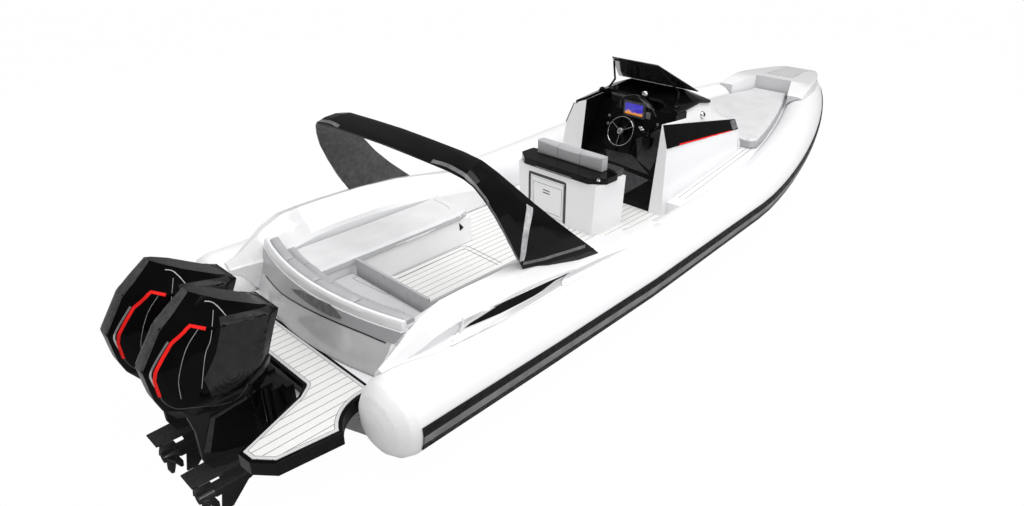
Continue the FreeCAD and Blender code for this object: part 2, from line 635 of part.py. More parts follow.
backrest = skin([back_ring(bench_top + gap, cushion * 2), back_ring(top_z, cushion * 1.4)])
backrest = one_solid(backrest.cut(Part.makeCompound([coamings, port_pad, port_seat])))
keep("aft_backrest", backrest)

# arch: one blade swept from foot to foot

# rows from the foot to the middle: aft edge x, y, z then front edge x, y, z; shares of the run from
# top to foot, of the arch's half width, and of its height
ARCH_SHARES = (
    (1.0, 0.977, 0.10, 1.0, 1.07, 0.0), (0.916, 0.996, 0.168, 0.897, 1.073, 0.092),
    (0.705, 1.004, 0.31, 0.70, 1.054, 0.26), (0.495, 1.0, 0.478, 0.504, 1.0, 0.44),
    (0.305, 0.978, 0.646, 0.333, 0.923, 0.617), (0.18, 0.923, 0.772, 0.205, 0.869, 0.755),
    (0.095, 0.869, 0.856, 0.111, 0.808, 0.864), (0.03, 0.80, 0.902, 0.034, 0.746, 0.948),
    (0.01, 0.654, 0.923, 0.004, 0.615, 0.982), (0.0, 0.31, 0.935, 0.0, 0.31, 0.994),
    (0.0, 0.0, 0.94, 0.0, 0.0, 1.0))
EDGE_THICK_SHARE, BELLY_SHARES = 0.35, (0.3, 0.7)


def arch_edges(aft_x, aft_y, aft_z, front_x, front_y, front_z):
    half, low = d("tube_half_spacing") - d("arch_inset"), d("arch_foot_height")
    rise = d("arch_top_height") - low
    aft_run = d("arch_foot_aft") - d("arch_top_aft")
    front_run = d("arch_foot_front") - d("arch_top_front")
    return (V(d("arch_top_aft") + aft_run * aft_x, half * aft_y, deck + low + rise * aft_z),
            V(d("arch_top_front") + front_run * front_x, half * front_y, deck + low + rise * front_z))


arch_lines = [arch_edges(*row) for row in ARCH_SHARES]
arch_lines += [(V(a.x, -a.y, a.z), V(f.x, -f.y, f.z)) for a, f in reversed(arch_lines[:-1])]
arch_rings = []
for k, (aft_edge, front_edge) in enumerate(arch_lines):
    before, after = arch_lines[max(0, k - 1)], arch_lines[min(len(arch_lines) - 1, k + 1)]
    along = (after[0] + after[1]) - (before[0] + before[1])
    inward = along.cross(front_edge - aft_edge).normalize()
    blade_line = [(0.0, EDGE_THICK_SHARE)] + [(s, 1.0) for s in BELLY_SHARES] + [(1.0, EDGE_THICK_SHARE)]
    chord, half_thick = front_edge - aft_edge, inward * (d("arch_thick") / 2)
    outer = [aft_edge + chord * s - half_thick * t for s, t in blade_line]
    within = [aft_edge + chord * s + half_thick * t for s, t in blade_line]
    arch_rings.append([tuple(p) for p in outer + within[::-1]])
arch = one_solid(skin(arch_rings).cut(coamings))
keep("arch", arch)

# helm seat module with a locker behind its door

aft_x = d("seat_aft")
front_x = aft_x + d("seat_length")
cut = d("seat_corner")
seat_top = deck + d("seat_height")
seat_low, seat_high = d("seat_half_low"), d("seat_half_top")
door_low = deck + d("door_raise")
seat_rings = []
for half, z in ((seat_low, deck - teak), (seat_high, seat_top)):
    seat_rings.append([(aft_x, -half + cut * 0.3, z), (aft_x + cut * 0.6, -half, z), (front_x, -half, z),
                       (front_x, half, z), (aft_x + cut * 0.6, half, z), (aft_x, half - cut * 0.3, z)])
module = skin(seat_rings)
door_half, door_y = d("door_half"), d("door_centre")
door_gap, wall = d("door_gap"), d("seat_wall")
pocket = box(aft_x - cut, aft_x + d("door_thick") + fit, door_y - door_half - door_gap,
             door_y + door_half + door_gap, door_low - door_gap, door_low + d("door_height") + door_gap)
locker = box(aft_x, front_x - cut, door_y - door_half + wall, door_y + door_half - wall,
             door_low + wall, door_low + d("door_height") - wall)

# hinge: two knuckles on the door turn on pins held by a knuckle of the module above each
hinge_r, hinge_l = d("hinge_radius"), d("hinge_length")
hinge_x, hinge_y = aft_x - hinge_r - d("hinge_clear"), door_y + door_half + door_gap / 2
KNUCKLE_HEIGHT_SHARES = (0.0, 1.0)
knuckles = []
for share in KNUCKLE_HEIGHT_SHARES:
    low = door_low + d("hinge_inset") + share * (d("door_height") - 2 * d("hinge_inset") - 2 * hinge_l)
    high = low + hinge_l + d("hinge_clear")
    knuckles.append((low, high))
door_parts, module_parts = [], []
for low, high in knuckles:
    barrel = Part.makeCylinder(hinge_r, hinge_l, V(hinge_x, hinge_y, low), Z)
    leaf = box(hinge_x, aft_x, door_y + door_half - 3 * hinge_r, door_y + door_half, low, low + hinge_l)
    leaf = leaf.cut(box(hinge_x, aft_x - d("hinge_leaf"), 0, hinge_y - hinge_r / 2, low, low + hinge_l))
    hole = Part.makeCylinder(d("hinge_pin") + d("hinge_clear"), hinge_l, V(hinge_x, hinge_y, low), Z)
    door_parts.append(barrel.fuse(leaf).cut(hole))
    fixed = Part.makeCylinder(hinge_r, hinge_l, V(hinge_x, hinge_y, high), Z)
    plate = box(hinge_x, aft_x, hinge_y, hinge_y + 3 * hinge_r, high, high + hinge_l)
    plate = plate.cut(box(hinge_x, aft_x - d("hinge_leaf"), hinge_y + hinge_r / 2, hinge_y + 4 * hinge_r,
                          high, high + hinge_l))
    pin = Part.makeCylinder(d("hinge_pin"), 2 * hinge_l, V(hinge_x, hinge_y, low), Z)
    module_parts += [fixed, plate, pin]
module = one_solid(module.cut(pocket).cut(locker).fuse(module_parts))
keep("helm_seat_module", module)
door_leaf = box(aft_x, aft_x + d("door_thick"), door_y - door_half, door_y + door_half,
                door_low, door_low + d("door_height"))
keep("helm_seat_door", one_solid(door_leaf.fuse(door_parts)))

TRAY_CORNER_SHARE, CUSHION_CORNER_SHARE = 0.8, 0.2
tray_half = "dimensions.seat_half_top + dimensions.tray_overhang"
tray_sides = [("dimensions.seat_aft - dimensions.tray_overhang", "dimensions.seat_half_top - dimensions.seat_corner"),
              ("dimensions.seat_aft + dimensions.seat_corner * %g" % TRAY_CORNER_SHARE, tray_half),
              ("dimensions.seat_aft + dimensions.tray_length", tray_half)]
tray_sides += [(ax, "-(%s)" % ay) for ax, ay in reversed(tray_sides)]
tray_body = outline_pad("helm_seat_tray", tray_sides, "dimensions.deck_level + dimensions.seat_height",
                        "dimensions.tray_height")
edge_round = tray_body.newObject("PartDesign::Fillet", "tray_edge")
pad_feature = tray_body.getObject("helm_seat_tray_pad")
corner_edges = ["Edge%d" % (k + 1) for k, e in enumerate(pad_feature.Shape.Edges)
                if abs(e.BoundBox.ZLength - d("tray_height")) < fit]
edge_round.Base = (pad_feature, corner_edges)
edge_round.setExpression("Radius", "dimensions.tray_round")
tray_body.Tip = edge_round
finished("helm_seat_tray", tray_body)
seat_base = "dimensions.deck_level + dimensions.seat_height"
finished("helm_seat_backrest", block(
    "helm_seat_backrest", "dimensions.seat_aft + dimensions.tray_length - dimensions.seat_back_thick",
    "-dimensions.seat_back_half", seat_base + " + dimensions.tray_height + dimensions.soft_gap",
    "dimensions.seat_back_thick", "2 * dimensions.seat_back_half", "dimensions.seat_back_height"))
finished("helm_seat_cushion", block(
    "helm_seat_cushion", "dimensions.seat_aft + dimensions.tray_length + dimensions.soft_gap",
    "-dimensions.seat_half_top + dimensions.seat_corner * %g" % CUSHION_CORNER_SHARE,
    seat_base + " + dimensions.soft_gap",
    "dimensions.seat_length - dimensions.tray_length - dimensions.soft_gap",
    "2 * dimensions.seat_half_top - dimensions.seat_corner * %g" % (2 * CUSHION_CORNER_SHARE),
    "dimensions.seat_pad_height"))
# console with open helm bay

con_aft = d("console_aft")
con_half = d("console_half")
con_height = deck + d("console_height")
bay_front = con_aft + d("helm_depth")
# rows: run along the console; shoulder height, peak height; half widths at panel foot, panel top,
# shoulder and peak; all but the run as shares of console height or console half width
CONSOLE_SHARES = ((0.0, 0.90, 1.0, 0.92, 0.80, 0.745, 0.46), (0.44, 0.965, 1.045, 0.92, 0.81, 0.745, 0.48),
                  (0.60, 0.915, 0.955, 0.92, 0.82, 0.72, 0.46), (0.92, 0.60, 0.645, 0.90, 0.82, 0.66, 0.42))


def console_ring(run, shoulder, peak, w_low, w_high, w_shoulder, w_peak):
    x = con_aft + run * d("console_length")
    low = deck - teak
    panel_low = deck + d("panel_aft_low") + (d("panel_front_low") - d("panel_aft_low")) * run
    panel_high = deck + d("panel_aft_high") + (d("panel_front_high") - d("panel_aft_high")) * run
    top = deck + d("console_height") * peak
    side = [(con_half, low), (con_half * w_low, panel_low), (con_half * w_high, panel_high),
            (con_half * w_shoulder, max(panel_high + teak, deck + d("console_height") * shoulder)),
            (con_half * w_peak, top)]
    ring = []
    for y, z in side:
        back = d("console_lean") * (1 - (z - low) / (con_height - low)) if run == 0 else 0
        ring.append((x - back, y, z))
    return ring + [(px, -py, pz) for px, py, pz in reversed(ring)]


console_rows = [console_ring(*row) for row in CONSOLE_SHARES]
nose_x = con_aft + d("console_length")
nose_high = deck_height(nose_x) + d("sunpad_thick")
NOSE_WIDTH_SHARES = (0.93, 0.90, 0.84, 0.66, 0.42)
NOSE_HEIGHT_SHARES = (0.0, 0.9, 0.95, 0.98, 1.0)
nose = [(nose_x, con_half * w, deck - teak + (nose_high - deck + teak) * h)
        for w, h in zip(NOSE_WIDTH_SHARES, NOSE_HEIGHT_SHARES)]
console_rows.append(nose + [(px, -py, pz) for px, py, pz in reversed(nose)])
console = skin(console_rows)
bay = box(con_aft - cut, bay_front, -d("helm_starboard"), d("helm_port"), 0, reach)
console = trimmed(console, bay, foredeck, hull)
keep("console_body", console)


def hood_line(row, lift, wider):
    """Shoulder to shoulder over the peak of one console row, raised in the row's own plane."""
    slope = (row[1][0] - row[0][0]) / (row[1][2] - row[0][2])
    shoulder, peak = row[3], row[4]
    line = [(shoulder[0] + slope * lift, shoulder[1] + wider, shoulder[2] + lift),
            (peak[0] + slope * lift, peak[1], peak[2] + lift)]
    return line + [(px, -py, pz) for px, py, pz in reversed(line)]


hood_rings = [hood_line(row, 0, d("hood_overhang")) + hood_line(row, d("hood_thick"), d("hood_overhang"))[::-1]
              for row in console_rows[:3]]
hood_cut = box(con_aft - cut, d("hood_aft"), -d("helm_starboard"), d("helm_port"), 0, reach)
hood = one_solid(skin(hood_rings).cut(hood_cut).cut(console))

# dash: knee panel, shelf, leaning face and an arched instrument pod
dash_line = [(0, 0), (d("dash_foot_reach"), 0), (d("dash_knee_reach"), d("dash_knee_height")),
             (d("dash_shelf_reach"), d("dash_shelf_height")), (d("dash_face_reach"), d("dash_face_height")),
             (d("dash_brow_reach"), d("dash_brow_height")), (0, d("dash_brow_height"))]
dash = prism([(bay_front - back, -d("helm_starboard"), deck + up) for back, up in dash_line],
             V(0, d("helm_starboard") + d("helm_port"), 0))
instrument_pod = Part.makeCylinder(d("pod_radius"), d("pod_reach"),
                                   V(bay_front - d("pod_reach"), -d("pod_side"), deck + d("pod_centre_height")), X)
dash = trimmed(dash.fuse(instrument_pod), console, hull, foredeck)
keep("helm_dash", dash)
hood = one_solid(hood.cut(dash))
keep("console_hood", hood)

# cockpit sole teak, from the lounge to the side decks and round the console's foot
sole_teak = box(bench_front + d("lip_thick") + gap, d("foredeck_start") - gap, -inner, inner, deck - teak, deck)
keep("cockpit_teak", trimmed(sole_teak, bench_low, module, coamings, console, dash))

display = box(bay_front - d("pod_reach") - d("display_thick"), bay_front,
              -d("pod_side") - d("display_width") / 2, -d("pod_side") + d("display_width") / 2,
              deck + d("display_low"), deck + d("display_low") + d("display_height"))
keep("dash_display", one_solid(display.cut(dash)))

# steering wheel: rim, hub and three spokes about one leaning axis

SPOKE_TURNS = (90, 210, 330)
wheel_place = FreeCAD.Placement(V(d("wheel_x"), d("wheel_side"), deck + d("wheel_height")),
                                FreeCAD.Rotation(Y, d("wheel_lean") - 90))
wheel_parts = [bound("Part::Torus", "wheel_ring", Radius1="dimensions.wheel_radius", Radius2="dimensions.wheel_rim"),
               bound("Part::Cylinder", "wheel_boss", Radius="dimensions.wheel_hub", Height="dimensions.wheel_hub",
                     z="-dimensions.wheel_hub / 2")]
for turn in SPOKE_TURNS:
    spoke = bound("Part::Box", "spoke_%d" % turn, Length="dimensions.wheel_radius", Width="2 * dimensions.spoke_thick",
                  Height="dimensions.spoke_thick")
    spoke.Placement = FreeCAD.Placement(V(), FreeCAD.Rotation(Z, turn)).multiply(
        FreeCAD.Placement(V(0, -d("spoke_thick"), -d("spoke_thick") / 2), FreeCAD.Rotation()))
    wheel_parts.append(spoke)
wheel_item = joined("steering_wheel", *wheel_parts)
wheel_item.Placement = wheel_place
finished("steering_wheel", wheel_item)
wheel_axis = wheel_place.Rotation.multVec(Z)
column = Part.makeCylinder(d("wheel_hub") * 0.7, d("column_length"),
                           wheel_place.Base - wheel_axis * (d("wheel_hub") / 2 + fit), wheel_axis * -1)
keep("steering_column", one_solid(column.cut(dash)))

throttle_x = bay_front - d("dash_face_reach") - d("throttle_length") / 2
throttle = box(throttle_x, throttle_x + d("throttle_length"), -d("throttle_side") - d("throttle_width") / 2,
               -d("throttle_side") + d("throttle_width") / 2, deck + d("throttle_low"),
               deck + d("throttle_low") + d("throttle_height"))
for side in (-1, 1):
    middle = -d("throttle_side") + side * d("lever_side")
    throttle = throttle.fuse(box(throttle_x, throttle_x + d("lever_thick") * 2, middle - d("lever_thick") / 2,
                                 middle + d("lever_thick") / 2, deck + d("throttle_low"),
                                 deck + d("throttle_low") + d("throttle_height") + d("lever_height")))
keep("throttle_control", one_solid(throttle.cut(dash)))

# black wedge panels on the console's sides, between its two side creases
panel_rings = []
for row in (console_rows[0], console_rows[3]):
    low, high = row[1], row[2]
    across = V(0, high[2] - low[2], low[1] - high[1]).normalize() * d("panel_thick")
    panel_rings.append([low, high, tuple(V(*high) + across), tuple(V(*low) + across)])
panel = one_solid(skin(panel_rings).cut(console))
keep("console_panel_port", panel)
mirror_image("console_panel_starboard", "console_panel_port")

# windscreen plate and its bent struts

screen_ends = []
hood_peak = console_rows[1][4][2] + d("hood_thick")
for x, half, z in ((d("screen_base_x"), d("screen_base_half"), hood_peak + fit),
                   (d("screen_top_x"), d("screen_top_half"), deck + d("screen_top_height"))):
    screen_ends.append([(x, -half, z), (x, half, z), (x, half, z + d("screen_thick")),
                        (x, -half, z + d("screen_thick"))])
screen = one_solid(skin(screen_ends).cut(hood).cut(console))
keep("windscreen", screen)


def rod(points, radius):
    pieces = []
    for a, b in zip(points, points[1:]):
        pieces.append(Part.makeCylinder(radius, (b - a).Length, a, b - a))
    for p in points[1:-1]:
        pieces.append(Part.makeSphere(radius, p))
    return one_solid(pieces[0].fuse(pieces[1:]))

STRUT_ON_GLASS_SHARE, STRUT_EDGE_SHARE = 0.88, 0.94
base_edge, top_edge = V(*screen_ends[0][1]), V(*screen_ends[1][1])
foot = V(d("strut_foot_x"), d("strut_foot_half"), console_rows[0][3][2])
knee = foot + V(d("strut_knee_run"), -d("strut_knee_inset"), d("strut_knee_rise"))
on_glass = base_edge + (top_edge - base_edge) * STRUT_ON_GLASS_SHARE
on_glass.y *= STRUT_EDGE_SHARE
below = (V(top_edge.x, 0, top_edge.z) - V(base_edge.x, 0, base_edge.z)).cross(Y).normalize()
if below.z > 0:
    below = below * -1
lean_share = (on_glass - knee).normalize().dot(below)
strut_end = on_glass + below * (d("strut_radius") * math.sqrt(1 - lean_share ** 2) + fit)
strut = one_solid(rod([foot, knee, strut_end], d("strut_radius")).cut(hood).cut(console))
keep("screen_strut_port", strut)
mirror_image("screen_strut_starboard", "screen_strut_port")

# bow cushion, and the raised bow step whose wings run aft along the tubes

pad_start, pad_end = d("sunpad_start"), d("sunpad_end")
SUNPAD_SHARES = ((0.0, 0.86), (0.04, 1.0), (0.2, 0.94), (0.4, 0.82), (0.6, 0.66), (0.8, 0.49), (1.0, 0.33))
pad_rings, pad_edge = [], []
for share, wide in SUNPAD_SHARES:
    x = pad_start + share * (pad_end - pad_start)
    z = deck_height(x) + gap
    y = min(d("sunpad_half") * wide, *(p[1] - gap for p in tube_seat(x, z, z + d("sunpad_thick"), 3)))
    pad_rings.append([(x, -y, z), (x, y, z), (x, y, z + d("sunpad_thick")), (x, -y, z + d("sunpad_thick"))])
    pad_edge.append((x, y))
keep("bow_sunpad", one_solid(skin(pad_rings).cut(console)))
wing_a, step_a, step_b = d("bow_wing_start"), d("bow_step_start"), d("bow_step_end")
step_z = deck + d("bow_step_height")
STEP_SHARES = ((0.0, 1.0, 1.0), (0.16, 0.98, 0.45), (0.317, 0.93, 0.0), (0.5, 0.85, 0.0), (0.65, 0.75, 0.0),
               (0.85, 0.58, 0.0), (1.0, 0.40, 0.1))
EDGE_SHARES = (0, 0.3, 0.55, 0.75, 0.9, 1.0)
PROBE_SHARES = (-0.5, -0.25, 0, 0.25, 0.5)
probe = d("bow_step_half") / 6
step_rings = []
for share, wide, drop in STEP_SHARES:
    x = wing_a + share * (step_b - wing_a)
    half = d("bow_step_half") * wide
    top = step_z - drop * d("bow_wing_drop") - teak
    low = [(x, half * e, max(deck_height(x) + d("bow_step_gap"),
                             max(tube_over(x + s * probe, half * e) + d("seat_gap") for s in PROBE_SHARES)))
           for e in EDGE_SHARES]
    top = max(top, max(p[2] for p in low) + 2 * teak)
    high = [(x, half * 0.97, top - teak), (x, half * 0.9, top), (x, 0, top)]
    right = low + high[:2]
    step_rings.append(right + [(px, -py, pz) for px, py, pz in reversed(right[1:])])
step = skin(step_rings)
recess = [(step_a, pad_edge[-1][1] + d("bow_step_edge"))]
recess += [(x, y + d("bow_step_edge")) for x, y in reversed(pad_edge) if x < step_a]
recess += [(x, -y) for x, y in reversed(recess)]
step = step.cut(prism([(x, y, 0) for x, y in recess], V(0, 0, reach)))
keep("bow_step", one_solid(step))
TEAK_TAPER_SHARE = 0.8
teak_end_half = "dimensions.bow_teak_half * %g" % TEAK_TAPER_SHARE
finished("bow_step_teak", outline_pad("bow_step_teak", [
    ("dimensions.bow_teak_start", "-dimensions.bow_teak_half"), ("dimensions.bow_teak_end", "-" + teak_end_half),
    ("dimensions.bow_teak_end", teak_end_half), ("dimensions.bow_teak_start", "dimensions.bow_teak_half")],
    "dimensions.deck_level + dimensions.bow_step_height - dimensions.teak_thick", "dimensions.teak_thick"))

# outboards, built on the centreline and moved to each side

tilt_x, tilt_z = -d("tilt_axis_x"), d("tilt_axis_height")
steer_x = -d("steer_axis_x")
transom = -d("transom_aft")
clamp_w, g = d("clamp_width"), d("joint_gap")
tilt_r = d("tilt_tube_radius")
clamps = []
for side in (-1, 1):
    y0 = side * d("clamp_half") - clamp_w / 2
    clamps.append(prism([(transom, y0, tilt_z + 2 * tilt_r), (transom, y0, tilt_z - d("clamp_drop")),
                         (transom - d("clamp_thick"), y0, tilt_z - d("clamp_drop")),
                         (tilt_x - 2 * tilt_r, y0, tilt_z),
                         (tilt_x - tilt_r, y0, tilt_z + 2 * tilt_r)], V(0, clamp_w, 0)))
tie = box(transom - d("clamp_thick") / 3, transom, -d("clamp_half"), d("clamp_half"),
          tilt_z - d("clamp_drop"), tilt_z - d("clamp_drop") * 0.6)
pin = Part.makeCylinder(tilt_r * 0.6, 2 * d("tilt_tube_half"), V(tilt_x, -d("tilt_tube_half"), tilt_z), Y)
bracket = one_solid(clamps[0].fuse([clamps[1], tie, pin]))

sw_half = d("clamp_half") - clamp_w / 2 - g
steer_r = d("steer_axis_radius")
sw_low, sw_high = tilt_z - d("swivel_drop"), tilt_z + tilt_r
swivel = prism([(tilt_x + tilt_r * 1.1, -sw_half, sw_high),
                (tilt_x + tilt_r * 1.1, -sw_half, tilt_z - tilt_r * 1.3),
                (steer_x + steer_r * 1.2, -sw_half, sw_low + steer_r),
                (steer_x, -sw_half, sw_low + steer_r), (steer_x, -sw_half, sw_high)], V(0, 2 * sw_half, 0))
swivel = swivel.fuse(Part.makeCylinder(steer_r, sw_high - sw_low, V(steer_x, 0, sw_low), Z))
swivel = swivel.cut(Part.makeCylinder(tilt_r * 0.6 + fit, 2 * d("tilt_tube_half"),
                                      V(tilt_x, -d("tilt_tube_half"), tilt_z), Y))
swivel = one_solid(swivel.cut(Part.makeCylinder(steer_r * 0.6, reach, V(steer_x, 0, -reach / 2), Z)))

# rows: front x, front z, rear x, rear z as shares of cowl length and height, half-width share
COWL_SHARES = ((0.20, 0.00, 0.85, 0.00, 0.56), (0.17, 0.13, 0.93, 0.13, 0.88),
               (0.145, 0.30, 0.97, 0.26, 0.99), (0.045, 0.57, 1.00, 0.525, 1.00),
               (0.0, 0.655, 0.82, 0.80, 0.95), (0.07, 0.69, 0.576, 1.00, 0.52))
cowl_base = d("cowl_base")


def cowl_ring(xf, zf, xr, zr, half):
    def at(along, side):
        x = -d("cowl_front") - d("cowl_length") * (xf + (xr - xf) * along)
        z = cowl_base + d("cowl_height") * (zf + (zr - zf) * along)
        return (x, d("cowl_half") * half * side, z)
    starboard = [at(0.0, -0.72), at(0.12, -0.97), at(0.62, -1.0), at(0.88, -0.62), at(1.0, -0.24)]
    return starboard + [(x, -y, z) for x, y, z in reversed(starboard)]


cowl = skin([cowl_ring(*row) for row in COWL_SHARES])

# rows: height, front, rear, half-width; shares of the leg reach, length and half-width
LEG_SHARES = ((1.0, 0.0, 1.0, 1.0), (0.66, 0.0, 0.93, 0.86), (0.2, 0.0, 0.93, 0.76),
              (0.0, 0.1, 0.82, 0.55), (-0.28, 0.2, 0.76, 0.3))
leg_front, leg_len, leg_half = -d("leg_front"), d("leg_length"), d("leg_half")
plate_z, shaft_z = -d("plate_height"), -d("shaft_height")


BLADE_SHARES = ((0.2, 0.62, 1.0), (0.55, 1.0, 0.72), (0.85, 0.85, 0.5), (1.0, 0.35, 0.42))


def leg_ring(zs, front_share, rear_share, half_share):
    z = plate_z + (cowl_base - plate_z) * zs
    xf, xr = leg_front - leg_len * front_share, leg_front - leg_len * rear_share
    half, run = leg_half * half_share, (rear_share - front_share) * leg_len
    side = [(xf, -half * 0.3, z), (xf - run * 0.2, -half, z), (xf - run * 0.75, -half * 0.85, z),
            (xr, -half * 0.25, z)]
    return side + [(x, -y, zz) for x, y, zz in reversed(side)]


leg = skin([leg_ring(*row) for row in LEG_SHARES])
plate_t = d("plate_thick")
PLATE_NOSE_SHARES, PLATE_WIDE_START_SHARE, PLATE_AFT_SHARE = (0.1, 0.5), 0.4, 0.84
plate_nose, plate_wide_x = leg_front - leg_len * PLATE_NOSE_SHARES[0], leg_front - leg_len * PLATE_WIDE_START_SHARE
plate_side = [(plate_nose, leg_half * PLATE_NOSE_SHARES[1]), (plate_wide_x, d("plate_half")),
              (leg_front - d("plate_length"), d("plate_half") * PLATE_AFT_SHARE)]
plate = prism([(px, -py, plate_z) for px, py in plate_side] + [(px, py, plate_z) for px, py in plate_side[::-1]],
              V(0, 0, plate_t))
gear_r, gear_len, gear_aft = d("gear_radius"), d("gear_length"), -d("gear_aft")
TORPEDO_STRAIGHT_SHARE, TORPEDO_TIP_SHARE = 0.6, 0.2
straight = gear_len * TORPEDO_STRAIGHT_SHARE
torpedo = Part.makeCylinder(gear_r, straight, V(gear_aft, 0, shaft_z), X)
torpedo = torpedo.fuse(Part.makeCone(gear_r, gear_r * TORPEDO_TIP_SHARE, gear_len - straight,
                                     V(gear_aft + straight, 0, shaft_z), X))
skeg_t = d("skeg_thick")
SKEG_SHARES = ((0.75, 0), (0.25, 1), (0.05, 1), (0.15, 0))
skeg = prism([(gear_aft + gear_len * along, -skeg_t / 2, shaft_z - d("skeg_drop") * down) for along, down in SKEG_SHARES],
             V(0, skeg_t, 0))
yoke_h = d("yoke_height")
yokes = []
YOKE_DEEP_SHARE, YOKE_HALF_SHARE, KINGPIN_SHARE = 0.25, 0.45, 0.6
yoke_half, yoke_aft = leg_half * YOKE_HALF_SHARE, leg_front - leg_len * YOKE_DEEP_SHARE
for z0 in (sw_high + g, sw_low - g - yoke_h):
    yokes.append(box(yoke_aft, steer_x + steer_r, -yoke_half, yoke_half, z0, z0 + yoke_h))
kingpin = Part.makeCylinder(steer_r * KINGPIN_SHARE - fit, sw_high - sw_low + 2 * (g + yoke_h),
                            V(steer_x, 0, sw_low - g - yoke_h), Z)
prop_gap, hub_len = d("prop_gap"), d("prop_hub_length")
shaft = Part.makeCylinder(d("prop_shaft_radius"), hub_len + prop_gap + gear_len * 0.1,
                          V(gear_aft - hub_len - prop_gap, 0, shaft_z), X)
leg = one_solid(leg.fuse([plate, torpedo, skeg, kingpin, shaft] + yokes))
cowl = one_solid(cowl.cut(leg))

hub_r = d("prop_hub_radius")
hub_end = gear_aft - prop_gap
prop = Part.makeCone(hub_r * 0.9, hub_r, hub_len, V(hub_end - hub_len, 0, shaft_z), X)
PITCH_SHARE, BLADES = 0.62, 4
chord, blade_t = d("blade_chord"), d("blade_thick")
for n in range(BLADES):
    sections = []
    for radius_share, chord_share, twist in BLADE_SHARES:
        r, half = d("prop_radius") * radius_share, chord * chord_share / 2
        pitch = twist * PITCH_SHARE * 2
        dx, dy = half * math.sin(pitch), half * math.cos(pitch)
        nx, ny = blade_t / 2 * math.cos(pitch), blade_t / 2 * math.sin(pitch)
        cx = hub_end - hub_len * 0.5
        sections.append([(cx + dx - nx, -dy - ny, shaft_z + r), (cx + dx + nx, -dy + ny, shaft_z + r),
                         (cx - dx + nx, dy + ny, shaft_z + r), (cx - dx - nx, dy - ny, shaft_z + r)])
    blade = skin(sections)
    blade.rotate(V(0, 0, shaft_z), X, 360.0 * n / BLADES)
    prop = prop.fuse(blade)
prop = one_solid(prop.cut(Part.makeCylinder(d("prop_shaft_radius") + fit, 2 * hub_len,
                                            V(hub_end - 1.5 * hub_len, 0, shaft_z), X)))

ENGINE_PIECES = (("transom_bracket_", bracket), ("swivel_bracket_", swivel), ("engine_cowl_", cowl),
                 ("engine_leg_", leg), ("propeller_", prop))
for name, side in SIDES:
    for label, shape in ENGINE_PIECES:
        keep(label + name, shape)
        built[label + name].setExpression("Placement.Base.y", "%d * dimensions.engine_half_spacing" % side)

doc.recompute()
total = 0
for label, item in built.items():
    if item.State and ("Invalid" in item.State or "Error" in item.State):
        raise RuntimeError("%s: %s" % (label, item.State))
    shape = item.Shape
    if shape.isNull() or not shape.isValid() or len(shape.Solids) != 1:
        raise RuntimeError("%s is not one valid solid" % label)
for item in doc.Objects:
    if "Invalid" in item.State or "Error" in item.State:
        raise RuntimeError("%s failed: %s" % (item.Name, item.State))
for label, item in built.items():
    shape = one_solid(item.Shape)
    b = shape.BoundBox
    total += shape.Volume
    print("%-26s %8.4f m3  x %6.0f %6.0f  y %6.0f %6.0f  z %6.0f %6.0f" % (
        label, shape.Volume / 1e9, b.XMin, b.XMax, b.YMin, b.YMax, b.ZMin, b.ZMax))
    shape.exportStep("parts/%s.step" % label)
print(len(built), "solids, volume m3", total / 1e9)
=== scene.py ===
import json
import math

import bmesh
import bpy
import numpy as np
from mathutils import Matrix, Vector
from mathutils.bvhtree import BVHTree
from mathutils.geometry import delaunay_2d_cdt

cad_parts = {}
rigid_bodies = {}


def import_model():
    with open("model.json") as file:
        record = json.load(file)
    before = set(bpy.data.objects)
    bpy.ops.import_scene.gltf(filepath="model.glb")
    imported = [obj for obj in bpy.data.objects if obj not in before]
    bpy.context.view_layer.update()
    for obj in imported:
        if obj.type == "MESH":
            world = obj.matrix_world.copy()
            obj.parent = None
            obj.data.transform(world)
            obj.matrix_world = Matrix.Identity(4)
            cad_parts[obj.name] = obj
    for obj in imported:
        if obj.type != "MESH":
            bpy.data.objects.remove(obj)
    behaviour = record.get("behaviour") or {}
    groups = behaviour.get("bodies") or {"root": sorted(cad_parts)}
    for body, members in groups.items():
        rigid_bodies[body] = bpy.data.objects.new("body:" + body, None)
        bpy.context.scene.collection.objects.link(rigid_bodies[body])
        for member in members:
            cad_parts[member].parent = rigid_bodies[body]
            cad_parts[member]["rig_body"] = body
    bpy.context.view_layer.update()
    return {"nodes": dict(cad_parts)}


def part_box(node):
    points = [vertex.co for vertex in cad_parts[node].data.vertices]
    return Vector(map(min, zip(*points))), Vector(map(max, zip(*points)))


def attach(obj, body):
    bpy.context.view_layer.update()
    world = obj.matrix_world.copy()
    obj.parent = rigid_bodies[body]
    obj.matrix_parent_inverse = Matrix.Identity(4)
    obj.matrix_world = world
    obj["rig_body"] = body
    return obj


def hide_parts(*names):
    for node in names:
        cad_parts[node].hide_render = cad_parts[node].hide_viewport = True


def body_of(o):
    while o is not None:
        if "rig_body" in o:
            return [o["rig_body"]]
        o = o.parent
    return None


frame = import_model()
nodes = frame["nodes"]
SIDES = (("port", 1), ("starboard", -1))


# camera at the photograph's place: metres in the boat's frame, angles in degrees

CAMERA_PLACE = (-2.531, -4.978, 4.015)
CAMERA_PITCH_DOWN, CAMERA_YAW, CAMERA_LENS = 27.583, 43.929, 25.10


def new_object(name, data):
    item = bpy.data.objects.new(name, data)
    bpy.context.scene.collection.objects.link(item)
    return item


def add_camera():
    camera = new_object("camera", bpy.data.cameras.new("camera"))
    camera.data.lens = CAMERA_LENS
    camera.data.clip_end = 200
    camera.location = CAMERA_PLACE
    camera.rotation_euler = (math.radians(90 - CAMERA_PITCH_DOWN), 0, math.radians(CAMERA_YAW - 90))
    bpy.context.scene.camera = camera


# shader helpers


